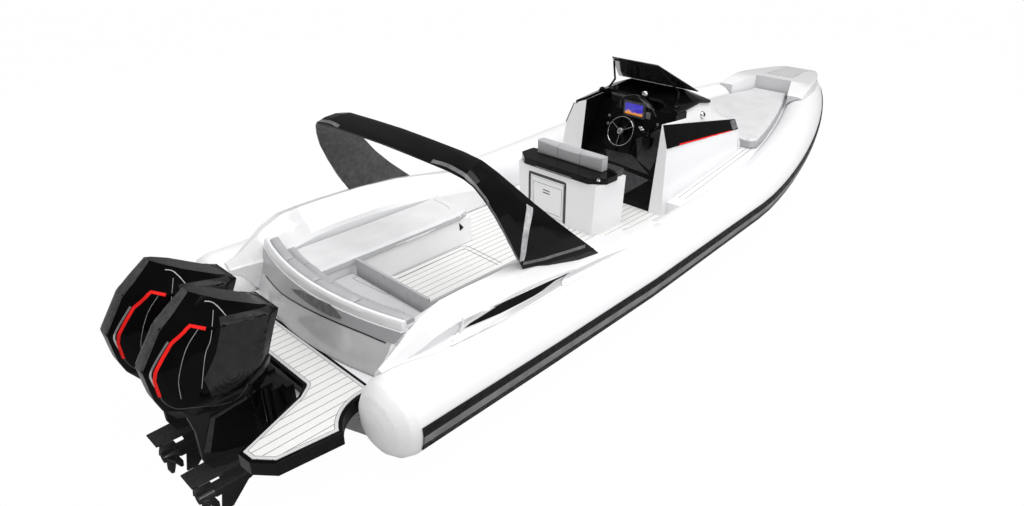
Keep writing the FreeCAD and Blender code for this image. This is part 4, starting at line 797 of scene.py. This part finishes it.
def add_engine_trim():
    skins = {(solid, engine): Skin(f"engine_{solid}_{engine}")
             for solid in FLANK_Y for engine, _ in ENGINE_MOVES}

    def each_flank(name, solid, path):
        """The path on each flank of each engine, with the piece's name and the solid's surface."""
        for engine, move in ENGINE_MOVES:
            for flank, offset, turn in (("outer", 0, 1), ("inner", -2 * ENGINE_Y, -1)):
                spots = [Vector((x, offset + turn * y, z)) + Vector((0, move, 0)) for x, y, z in path]
                yield f"{name}_{engine}_{flank}", skins[solid, engine], spots

    def laid(solid, points):
        return skins[solid, "starboard"].path([(x, FLANK_Y[solid], z) for x, z in points])

    for name, (solid, points, width, material, settings) in ENGINE_STRIPS.items():
        for piece, skin, path in each_flank(name, solid, laid(solid, points)):
            ribbon(piece, skin, path, width, material, **settings)
    for name, (solid, points, material, lift) in ENGINE_PANELS.items():
        for piece, skin, path in each_flank(name, solid, laid(solid, points)):
            patch(piece, skin, path, material, lift, grid=0.03)
    for piece, skin, path in each_flank("plate_line", "leg", PLATE_LINE):
        ribbon(piece, skin, path, 0.006, grey_line, 0.002)
    spine = skins["cowl", "starboard"].path([(x - 1, -ENGINE_Y, z) for x, z in SPINE], (1, 0, 0))
    for engine, move in ENGINE_MOVES:
        path = [p + Vector((0, move, 0)) for p in spine]
        ribbon("cowl_spine_" + engine, skins["cowl", engine], path, SPINE_WIDTHS, engine_grey, 0.004, 6)


add_engine_trim()


# stern: bulkhead, rim and the bolster along it

# outline of the crescent recess, whose shade is painted as a dark patch
CRESCENT = ((291, 288.5), (301, 290.5), (311, 295.5), (323, 301.5), (334, 308), (341.5, 318.5),
            (331, 316), (321, 311), (309.5, 304), (299, 296))
BULKHEAD_SEAM = ((258, 262), (266, 276), (280, 291.7), (295, 302), (313.3, 311.7), (338, 323),
                 (363.3, 333.3), (386, 343))
RIM_STATIONS, RIM_HALF = 36, 1.072
RIM_TOP_SHARES, RIM_SHOULDERS, RIM_BEVEL = (.3, .8), (.03, .02), 0.008
RIM_WHITE_SHARE, BOLSTER_GAP_SHARE = 0.36, 0.03
BOLSTER_SHARES = ((0, -0.9), (0.02, -0.25), (0.1, 0), (0.5, 0.06), (0.9, 0), (0.98, -0.25), (1, -0.9))
BOLSTER_JOINTS, BOLSTER_CUT, BOLSTER_STATIONS = (-1.06, -0.52, 0.02, 0.54, 1.06), 0.005, 18
BOLSTER_END_SHARE, BOLSTER_END_DROP = 0.06, 0.015
BOLSTER_BELOW_RIM, BOLSTER_FOOT_GAP = 0.010, 0.004


def rim_line(y, middle):
    """Aft and fore points of the rim at a distance from the centreline."""
    return [rim_skin.hit((-3 * way, y, middle), (way, 0, 0))[0] for way in (1, -1)]


def add_rim():
    """The white rim is the aft part of the solid; a grey bolster in four lengths fills the rest."""
    low, high = (corner[2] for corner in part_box("stern_rim"))
    middle = (low + high) / 2
    rings = []
    for k in range(RIM_STATIONS + 1):
        aft, fore = rim_line(RIM_HALF * (2 * k / RIM_STATIONS - 1), middle)
        inner = aft.lerp(fore, RIM_WHITE_SHARE)
        section = ((aft, low), (aft, high - RIM_SHOULDERS[0]),
                   *((aft.lerp(inner, share), high) for share in RIM_TOP_SHARES),
                   (inner, high - RIM_SHOULDERS[1]), (inner, low))
        rings.append([Vector((*p.xy, z)) for p, z in section])
    band = loft("stern_rim_band", rings, white, rim_skin.body, 60)
    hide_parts("stern_rim")
    add_bevel(band, RIM_BEVEL)
    for number, (start, end) in enumerate(zip(BOLSTER_JOINTS, BOLSTER_JOINTS[1:])):
        rings = []
        for share in (k / BOLSTER_STATIONS for k in range(BOLSTER_STATIONS + 1)):
            aft, fore = rim_line(start + BOLSTER_CUT + (end - start - 2 * BOLSTER_CUT) * share, middle)
            back = aft.lerp(fore, RIM_WHITE_SHARE + BOLSTER_GAP_SHARE)
            drop = max(0, 1 - min(share, 1 - share) / BOLSTER_END_SHARE) ** 2
            top = high - BOLSTER_BELOW_RIM - BOLSTER_END_DROP * drop
            rings.append([Vector((*back.lerp(fore, t).xy, top + rise * (high - low - BOLSTER_FOOT_GAP) / 2))
                          for t, rise in BOLSTER_SHARES])
        loft(f"bolster_{number}", rings, pad_grey, rim_skin.body, 60)


def two_zone():
    """Bulkhead: grey above the seam, pale and glossy below it; the seam is a parabola across the boat."""
    points = seen(bulkhead_skin, BULKHEAD_SEAM)
    a, b, c = (float(v) for v in np.polyfit([p.y for p in points], [p.z for p in points], 2))
    shader = Shader("bulkhead_two_tone", (0.5, 0.5, 0.51), 0.2, Coat_Weight=0.5, Coat_Roughness=0.06)
    split = shader.split()
    y = split["Y"]
    slope = shader.math("ADD", shader.math("MULTIPLY", y, a), b)
    curve = shader.math("ADD", shader.math("MULTIPLY", slope, y), c)
    above = shader.ramp(shader.math("SUBTRACT", split["Z"], curve), 0, 1, -0.002, 0.002)
    slow = shader.noise(2.2, 3)
    gloss = shader.mix(shader.ramp(slow, 0, 1, 0.35, 0.65), (0.5, 0.5, 0.51), (0.62, 0.62, 0.63))
    satin = shader.mix(shader.ramp(slow, 0, 1), (0.36, 0.36, 0.37), (0.4, 0.4, 0.41))
    shader.colour(shader.mix(above, gloss, satin))
    shader.rough(shader.ramp(above, 0.12, 0.35, 0, 1))
    shader.bump(shader.noise(3.0, 2), 0.0012, 0.25)
    return shader.material


def add_bulkhead_trim():
    recess, seam = (seen(bulkhead_skin, pixels) for pixels in (CRESCENT, BULKHEAD_SEAM))
    # painted shade: a dark grey crescent laid on the wall stands in for the shade in the recess
    patch("bulkhead_recess_shade", bulkhead_skin, recess, recess_shade, 0.004, grid=0.02, smooth=True)
    ribbon("bulkhead_seam", bulkhead_skin, seam, 0.012, dark_line, 0.003)


rim_skin, bulkhead_skin = Skin("stern_rim"), Skin("stern_bulkhead")
dressed("stern_bulkhead", (use(two_zone()), white), BEVEL, upward)
add_rim()
add_bulkhead_trim()


# coamings: the long slot under the lip, its fins and a band of painted shade below the slot

SLOT = ((464.3, 328.3), (480, 322), (496.7, 315), (510, 308.5), (523.3, 301.7), (534, 296), (543.3, 290),
        (555, 280.7), (570, 272.7), (553.3, 279.3), (541, 284), (530, 288.3), (518, 294), (506.7, 300),
        (495, 307.5), (483.3, 315), (470, 323.3))
FIN_WIDTHS = ((0, .012), (.5, .035), (1, .012))
COAMING_STRIPS = {  # path in the photograph, width, material, how far it stands out, columns
    # painted shade: a pale grey band laid below the slot stands in for the shade around it
    "slot_shade_band": (((447, 346), (470, 337), (500, 323), (530, 308), (552, 295), (566, 281)),
               ((0, .01), (.4, .05), (.9, .03), (1, .01)), pale_shade, 0.002, 3),
    "slot_lip": (((462, 326), (470, 319.5), (483.3, 311), (506.7, 296.5), (530, 285), (553.3, 275.5),
                  (574, 268)), 0.016, white, 0.012, 3),
    "fin_aft": (((462, 318), (461, 328), (452, 341)), FIN_WIDTHS, white, 0.016, 4),
    "fin_fore": (((566, 275), (562, 286), (548, 297)), FIN_WIDTHS, white, 0.016, 4),
}


def add_coaming_trim():
    base = Skin("coaming_starboard")
    skins = {side: Skin("coaming_" + side) for side, _ in SIDES}
    for side, path in both_sides(seen(base, SLOT)):
        patch("coaming_slot_" + side, skins[side], path, pit, 0.002, grid=0.03)
    for name, (pixels, width, material, lift, columns) in COAMING_STRIPS.items():
        for side, path in both_sides(seen(base, pixels)):
            ribbon(f"coaming_{name}_{side}", skins[side], path, width, material, lift, columns)


add_coaming_trim()


# arch: strip up the outer face, dark edge along its top and foot

ARCH_STRIPS = {  # path in the photograph, width, material
    "strip": (((529.5, 206), (526, 232), (521.5, 261)), ((0, .085), (1, .05)), mid_pale),
    "edge": (((432, 161), (447, 165.5), (461, 173), (474, 185), (485, 199), (494, 214), (503, 231),
              (512, 248), (520, 262.5)), 0.035, mid_grey),
    "foot": (((523, 263.5), (545, 258.5), (566, 252), (585, 246)), 0.03, mid_grey),
}


def add_arch_trim():
    skin = Skin("arch")
    for name, (pixels, width, material) in ARCH_STRIPS.items():
        for side, path in both_sides(seen(skin, pixels)):
            ribbon(f"arch_{name}_{side}", skin, path, width, material, 0.003)


add_arch_trim()


# lines on the cockpit floor and side decks, vent in the seat base

MAT_OUTER = [(1.22, .314), (2.13, .309), (2.19, .288), (2.205, .245), (2.187, -.286)]
MAT_INNER = [(1.21, .235), (2.088, .248), (2.13, .236), (2.144, .211), (2.126, -.287)]
VENT = ((459.0, 222.8), (463.6, 227.3), (459.8, 231.0))
DECK_LINES = (((673, 197), (741, 148)), ((678, 198), (747, 148)), ((685, 199), (752.5, 148)))
DECK_Z = 0.42


def add_deck_lines():
    skin = Skin("cockpit_teak")
    for name, points in (("outer", MAT_OUTER), ("inner", MAT_INNER)):
        path = [(x, y, DECK_Z) for x, y in points]
        ribbon("mat_line_" + name, skin, path, 0.007, deck_line, 0.0012, smooth=False)
    base = Skin("lounge_base")
    patch("seat_base_vent", base, seen(base, VENT), pit, 0.003, grid=0.02)
    side_decks = Skin("foredeck")
    for k, (start, end) in enumerate(DECK_LINES):
        run = seen(side_decks, [Vector(start).lerp(Vector(end), j / 8) for j in range(9)])
        for side, path in both_sides(run):
            ribbon(f"side_deck_line_{k}_{side}", side_decks, path, 0.010, grey_line, 0.002)


add_deck_lines()


# helm seat

DOOR_LINE = [(.335, .846), (-.10, .846), (-.10, .50), (.335, .50), (.335, .846)]
DOOR_FRAME = [(.40, .44), (.40, .94), (-.148, .94), (-.148, .44)]
SEAT_LINES = {  # solid, path in y and z, width, material, how far it stands out
    "door_line": ("helm_seat_door", DOOR_LINE, 0.007, grey_line, 0.0012),
    "door_slot_0": ("helm_seat_door", [(.188, .776), (.084, .772)], 0.012, pit, 0.0012),
    "door_slot_1": ("helm_seat_door", [(.188, .742), (.084, .738)], 0.012, pit, 0.0012),
    "door_frame": ("helm_seat_module", DOOR_FRAME, 0.034, dark_grey, 0.0025),
    "tray_line_0": ("helm_seat_tray", [(.30, 1.03), (-.25, 1.03)], 0.006, grey_line, 0.0015),
    "tray_line_1": ("helm_seat_tray", [(.30, 1.045), (-.25, 1.045)], 0.006, grey_line, 0.0015),
}
SEAT_LINES_FROM_X = 3.2
LATCH_PLACE, LATCH_AXIS = (3.38, -.60, 1.095), (-.3, 0, 1)
LATCH = [(0, 0), (.020, 0), (.024, .006), (.018, .014), (.016, .022), (0, .026)]
AHEAD, DOWN = (1, 0, 0), (0, 0, -1)


def add_helm_seat_trim():
    for name, (node, points, width, material, lift) in SEAT_LINES.items():
        skin = Skin(node)
        path = skin.path([(SEAT_LINES_FROM_X, y, z) for y, z in points], AHEAD)
        ribbon(name, skin, path, width, material, lift, smooth=len(points) == 2)
    turned("seat_latch", LATCH, LATCH_PLACE, LATCH_AXIS, bright, nodes["helm_seat_tray"]["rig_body"])


add_helm_seat_trim()


# console: instrument pod, display, dash and lights

POD_X = 4.4
POD = [(.150, 1.47), (.153, 1.573), (.11, 1.662), (-.05, 1.72), (-.215, 1.735), (-.32, 1.71),
       (-.353, 1.691), (-.377, 1.47)]
POD_GLARE = [(-.10, 1.66), (-.30, 1.61), (-.34, 1.54), (-.24, 1.56)]
SCREEN_Y, SCREEN_Z = (-.20, .06), (1.432, 1.572)
SMALL_SCREEN_Y, SMALL_SCREEN_Z, SMALL_SCREEN_BACK = (-.30, -.235), (1.40, 1.50), .028
KEYS, KEY_Y, KEY_TOP_Z, KEY_PITCH = 4, .072, 1.545, .03
PANEL_RED = [(4.714, 1.222), (5.4, 1.152), (6.033, 1.076)]
PANEL_END = [(6.05, 1.20), (6.19, 1.19), (6.19, 1.09), (6.05, 1.08)]
DASH_FACETS = {  # outline in the photograph and material
    "knee_panel": (((608, 163), (649, 180), (652, 212), (621, 196)), dark_grey),
    # painted reflection: two facets get a lighter grey for the reflections on the gloss black dash
    "shelf_facet": (((605, 149), (632, 155), (649, 175), (608, 160)), facet_reflection_grey),
    "throttle_facet": (((636, 139), (650, 134), (661, 128), (650, 171), (637, 160)), facet_reflection_grey),
}
KNEE_SLOT = ((622.5, 197), (647, 207))
SWITCHES_FROM_X, SWITCHES = 4.0, ((.30, 1.35), (.30, 1.25), (-.50, 1.32), (-.42, 1.38))
COMPASS_ABOVE, SIDE_LIGHT_BESIDE = (4.80, -.17, 3.0), (5.36, -3, 1.42)
KEY_PROFILE = [(0, 0), (.008, 0), (.008, .003), (.005, .005), (0, .005)]
SWITCH_PROFILE = [(0, -.002), (.02, -.002), (.02, .004), (.016, .008), (.01, .008), (.008, .018), (0, .018)]
HOOD_FITTINGS = {  # profile and material of what stands on the hood
    "compass_base": ([(0, -.01), (.05, -.01), (.052, .012), (.044, .02), (0, .02)], black),
    "compass_dome": ([(.04, .018), (.041, .034), (.034, .056), (.02, .07), (0, .074)], bright),
}
LIGHT_FITTINGS = {  # of the navigation light on the starboard side
    "side_light": ([(0, -.01), (.045, -.01), (.047, .01), (.04, .03), (.024, .042), (0, .046)], bright),
    "side_light_lens": ([(0, .035), (.022, .035), (.02, .047), (0, .052)], pit),
}


def display_picture():
    """Depth sounder picture: blue water over a red and yellow bed."""
    shader = Shader("sounder_picture", (0.05, 0.06, 0.5), 0.12, Coat_Weight=0.5, Emission_Strength=0.35)
    wave = shader.noise(14, 5, (0, 1, 0.4))
    height = shader.math("ADD", shader.split()["Z"], shader.math("MULTIPLY", wave, -0.11))
    low, high = SCREEN_Z[0] - 0.075, SCREEN_Z[0]
    share = shader.math("DIVIDE", shader.math("SUBTRACT", height, low), high - low)
    fine = shader.noise(120, 3)
    share = shader.math("ADD", share, shader.math("MULTIPLY", shader.math("SUBTRACT", fine, 0.5), 0.5))
    bed = shader.mix(shader.ramp(share, 0, 1, 0.0, 0.45), (0.55, 0.02, 0.01), (0.9, 0.35, 0.03))
    water = shader.mix(shader.ramp(fine, 0, 1, 0.35, 0.7), (0.015, 0.02, 0.35), (0.08, 0.05, 0.62))
    picture = shader.mix(shader.ramp(share, 0, 1, 0.55, 0.9), bed, water)
    shader.colour(picture)
    shader.feed("Emission Color", picture)
    return shader.material


def add_console_trim():
    body = nodes["dash_display"]["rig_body"]
    dash, hood, shell = Skin("helm_dash"), Skin("console_hood"), Skin("console_body")
    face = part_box("dash_display")[0][0]
    plate("display_picture", face, SCREEN_Y, SCREEN_Z, use(display_picture()), body)
    for k in range(KEYS):
        place = (face, KEY_Y, KEY_TOP_Z - k * KEY_PITCH)
        turned(f"display_key_{k}", KEY_PROFILE, place, (-1, 0, 0), mid_grey, body, 16)
    pod, glare = (dash.path([(POD_X, y, z) for y, z in points], AHEAD) for points in (POD, POD_GLARE))
    ribbon("pod_edge", dash, pod, 0.010, dark_grey, 0.004, columns=3)
    for name, (outline, material) in DASH_FACETS.items():
        patch("dash_" + name, dash, seen(dash, outline), material, 0.004, grid=0.03)
    ribbon("dash_knee_slot", dash, seen(dash, KNEE_SLOT), 0.03, pit, 0.006, smooth=False)
    patch("pod_glare_top", dash, glare, mid_grey, 0.002, grid=0.03)
    plate("pod_screen_small", face + SMALL_SCREEN_BACK, SMALL_SCREEN_Y, SMALL_SCREEN_Z, mid_grey, body, 0.012)
    for k, (y, z) in enumerate(SWITCHES):
        spot = dash.hit((SWITCHES_FROM_X, y, z), AHEAD)
        turned(f"dash_switch_{k}", SWITCH_PROFILE, *spot, mid_grey, body, 24)
    place, _ = hood.hit(COMPASS_ABOVE, DOWN)
    for name, (profile, material) in HOOD_FITTINGS.items():
        turned(name, profile, place, (0, 0, 1), material, body)
    for name, (profile, material) in LIGHT_FITTINGS.items():
        turned(name, profile, *shell.hit(SIDE_LIGHT_BESIDE, (0, 1, 0)), material, body)
    for side, sign in SIDES:
        panel = Skin("console_panel_" + side)
        stripe, end = (panel.path([(x, sign * 2, z) for x, z in points], (0, -sign, 0))
                       for points in (PANEL_RED, PANEL_END))
        ribbon("panel_stripe_" + side, panel, stripe, 0.016, red, 0.0025, smooth=False)
        patch("panel_end_" + side, panel, end, mid_grey, 0.002)


add_console_trim()


# steering wheel, throttle and strut feet

SPOKE_ANGLES = [math.radians(a) for a in (90, 210, 330)]
WHEEL_CENTRE, WHEEL_TILT = Vector((4.61, .01, 1.235)), math.radians(24)
HUB = {
    "wheel_hub": ([(0, 0), (.042, 0), (.043, .012), (.036, .022), (.024, .026), (0, .028)], dark_grey),
    "wheel_hub_ring": ([(.030, .021), (.036, .019), (.037, .024), (.031, .027)], bright),
}


WHEEL_RING_LIFT, WHEEL_RING_INSET, WHEEL_RING_RADIUS = .018, .022, .0038
HUB_LIFT, SPOKE_LIFT, SPOKE_RADIUS, SPOKE_START, SPOKE_END_INSET = .012, .020, .003, .045, .03


def add_wheel_trim():
    body = nodes["steering_wheel"]["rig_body"]
    axis = Vector((-math.cos(WHEEL_TILT), 0, math.sin(WHEEL_TILT)))
    low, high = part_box("steering_wheel")
    rim = (high[1] - low[1]) / 2
    side = Vector((0, 1, 0))
    up = axis.cross(side)
    ring = [WHEEL_CENTRE + axis * WHEEL_RING_LIFT + q for q in circle(side, up, rim - WHEEL_RING_INSET, 72)]
    rail("wheel_ring", ring + ring[:1], WHEEL_RING_RADIUS, bright, body, step=1.0, sides=8, smooth=False)
    for name, (profile, material) in HUB.items():
        turned(name, profile, WHEEL_CENTRE + axis * HUB_LIFT, axis, material, body)
    for k, angle in enumerate(SPOKE_ANGLES):
        out = side * math.cos(angle) + up * math.sin(angle)
        reach = (SPOKE_START, rim * .5, rim - SPOKE_END_INSET)
        spoke = [WHEEL_CENTRE + axis * SPOKE_LIFT + out * r for r in reach]
        rail(f"wheel_spoke_trim_{k}", spoke, SPOKE_RADIUS, bright, body, .03, 8)


add_wheel_trim()

LEVERS = {"port": (-.315, .02), "starboard": (-.372, -.03)}  # place across the boat, lean forward
LEVER_ROOT, LEVER_TOP, LEVER_BEND, LEVER_RADIUS = (.03, -.09), (-.10, .02), (-.01, 0, .015), .010
KNOB = [(0, -.026), (.010, -.024), (.016, -.010), (.016, .008), (.010, .022), (0, .026)]


def add_throttle_trim():
    """Two chrome levers with knobs on the throttle's housing."""
    body = nodes["throttle_control"]["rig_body"]
    low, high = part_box("throttle_control")
    for name, (y, lean) in LEVERS.items():
        root = Vector((low[0] + LEVER_ROOT[0], y, high[2] + LEVER_ROOT[1]))
        top = Vector((low[0] + LEVER_TOP[0] + lean, y, high[2] + LEVER_TOP[1]))
        bend = root.lerp(top, .5) + Vector(LEVER_BEND)
        rail("throttle_lever_" + name, [root, bend, top], LEVER_RADIUS, bright, body, .012)
        turned("throttle_knob_" + name, KNOB, top, (0, 1, 0), bright, body, 24)


add_throttle_trim()

STRUT_FOOT = [(0, -.01), (.045, -.01), (.046, .008), (.03, .016), (.024, .03), (0, .032)]
STRUT_FOOT_X, STRUT_FOOT_Y = 4.903, .56


def add_strut_feet():
    hood = Skin("console_hood")
    for side, sign in SIDES:
        spot = hood.hit((STRUT_FOOT_X, sign * STRUT_FOOT_Y, 3.0), DOWN)
        turned("strut_foot_" + side, STRUT_FOOT, *spot, black, hood.body, 24)


add_strut_feet()


# cushions: cloth under light pressure, kept inside the space of each solid

CLOTH_FRAMES = 20
CLOTH = {"vertex_group_mass": "rest", "use_pressure": True, "uniform_pressure_force": 4, "quality": 4,
         "mass": 0.3, "tension_stiffness": 12, "compression_stiffness": 12, "bending_stiffness": 0.6}
REST_BAND, REST_SLOPE = 0.006, -0.7  # what is held: low corners and faces that look down
PADS = {  # node: voxel, side inset, crown, swell allowed, material, whether its sides are grey
    "bow_sunpad": (0.028, 0.010, 0.020, 0.026, pad_sun, True),
    "port_seat_cushion": (0.018, 0.010, 0.016, 0.024, pad_light, True),
    "aft_seat_cushion": (0.012, 0.008, 0.014, 0.022, pad_aft, True),
    "aft_backrest": (0.012, 0.008, 0.012, 0.022, pad_grey, False),
    "helm_seat_backrest": (0.008, 0.006, 0.010, 0.016, pad_grey, False),
    "helm_seat_cushion": (0.008, 0.006, 0.010, 0.016, black_vinyl, False),
}
SEAMS = {  # lines of points for each node
    "port_seat_cushion": [[(2.186, .522, .80), (2.215, .60, .80), (2.229, .699, .80), (2.233, .842, .80)]],
    "aft_seat_cushion": [[(.721, .193, .67), (.767, .128, .67), (.76, -.264, .67), (.70, -.259, .67),
                          (.66, .193, .67), (.721, .193, .67)]],
    "aft_backrest": [[(.22, y, .68), (.25, y, .86), (.55, y, .86), (.55, y, .68)] for y in (-.45, 0.0, .45)],
    "helm_seat_backrest": [[(3.57, y, 1.11), (3.57, y, 1.28), (3.70, y, 1.28), (3.70, y, 1.11)]
                           for y in (-.165, .165)],
    "helm_seat_cushion": [[(3.68, y, 1.12), (3.87, y, 1.12)] for y in (-.2, .2)],
    "bow_sunpad": [[(6.45, 0, .98), (8.7, 0, .98)], [(7.5, -.8, .98), (7.5, .8, .98)]],
}
SEAM_PRESS = {"port_seat_cushion": (.03, .003), "aft_seat_cushion": (.02, .003), "bow_sunpad": (.06, .005)}
SEAM_PRESS_ELSE = (.022, .008)  # half width and depth
INSIDE_GAP = 0.0004
SIDE_SLOPE = 0.55


def evaluated(item):
    graph = bpy.context.evaluated_depsgraph_get()
    graph.update()
    return bpy.data.meshes.new_from_object(item.evaluated_get(graph))


def applied(item):
    """Gives an item the mesh that its modifiers make of it."""
    mesh = evaluated(item)
    item.modifiers.clear()
    item.data = mesh
    return mesh


def places(mesh, attribute="co"):
    flat = np.empty(len(mesh.vertices) * 3)
    mesh.vertices.foreach_get(attribute, flat)
    return flat.reshape(-1, 3)


def set_places(mesh, spots):
    mesh.vertices.foreach_set("co", np.asarray(spots, dtype=np.float64).reshape(-1))
    mesh.update()


def pad_blank(node, voxel, inset, crown):
    """A slightly smaller, evenly meshed copy of the solid; its underside stays where it is."""
    item = link(node + "_pad", nodes[node].data.copy(), nodes[node]["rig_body"])
    modify(item, "remesh", "REMESH", mode="VOXEL", voxel_size=voxel)
    mesh = applied(item)
    normal = places(mesh, "normal")
    move = normal * -inset
    move[:, 2] = -crown * np.clip(normal[:, 2], 0, 1)
    set_places(mesh, places(mesh) + move)
    return item


def add_cloth(item):
    low = min(v.co.z for v in item.data.vertices)
    resting = [v.index for v in item.data.vertices if v.co.z < low + REST_BAND or v.normal.z < REST_SLOPE]
    item.vertex_groups.new(name="rest").add(resting, 1.0, "REPLACE")
    cloth = item.modifiers.new("cloth", "CLOTH")
    for key, value in CLOTH.items():
        setattr(cloth.settings, key, value)
    cloth.settings.effector_weights.gravity = 0
    cloth.collision_settings.use_collision = False
    cloth.point_cache.frame_start, cloth.point_cache.frame_end = 1, CLOTH_FRAMES


def kept_inside(node, spots, start, cap):
    """Limits how far each point moved and holds it inside the solid's space."""
    move = spots - start
    length = np.linalg.norm(move, axis=1)
    spots = start + move * np.minimum(1, cap / np.maximum(length, 1e-9))[:, None]
    skin = Skin(node)
    for k, p in enumerate(spots):
        place, normal = skin.near(p)
        if (Vector(p) - place).dot(normal) > -INSIDE_GAP:
            spots[k] = place - normal * INSIDE_GAP
    return spots


def pressed(item, lines, half_width, depth):
    """Sinks sewn channels into a pad along lines of (x, y, z) points."""
    mesh = item.data
    spots, normal = places(mesh), places(mesh, "normal")
    nearest = np.full(len(spots), np.inf)
    for line in lines:
        for a, b in zip(line, line[1:]):
            a, b = np.array(a), np.array(b)
            run = b - a
            t = np.clip(((spots - a) @ run) / (run @ run), 0, 1)
            nearest = np.minimum(nearest, np.linalg.norm(spots - (a + t[:, None] * run), axis=1))
    share = np.clip(1 - nearest / half_width, 0, 1) ** 2
    set_places(mesh, spots - normal * (share * depth)[:, None])


def add_pads():
    blanks, starts = {}, {}
    for node, (voxel, inset, crown, *_) in PADS.items():
        blanks[node] = pad_blank(node, voxel, inset, crown)
        starts[node] = places(blanks[node].data)
        add_cloth(blanks[node])
    for step in range(1, CLOTH_FRAMES + 1):
        bpy.context.scene.frame_set(step)
    for node, (_, _, _, cap, material, grey_sides) in PADS.items():
        item = blanks[node]
        spots = places(evaluated(item))
        item.modifiers.clear()
        item.vertex_groups.clear()
        set_places(item.data, kept_inside(node, spots, starts[node], cap))
        modify(item, "round", "SUBSURF", levels=1, render_levels=1)
        mesh = applied(item)
        pressed(item, SEAMS[node], *SEAM_PRESS.get(node, SEAM_PRESS_ELSE))
        mesh.materials.clear()
        for finish_material in (material, pad_grey)[:1 + grey_sides]:
            mesh.materials.append(finish_material)
        for face in mesh.polygons:
            face.use_smooth = True
            face.material_index = int(grey_sides and face.normal.z < SIDE_SLOPE)
        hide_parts(node)
        if node != "bow_sunpad":
            skin = Skin(item)
            for k, line in enumerate(SEAMS[node]):
                ribbon(f"{node}_seam_{k}", skin, skin.laid(line), 0.004, thread, 0.0008,
                       step=0.012, smooth=False)


add_pads()
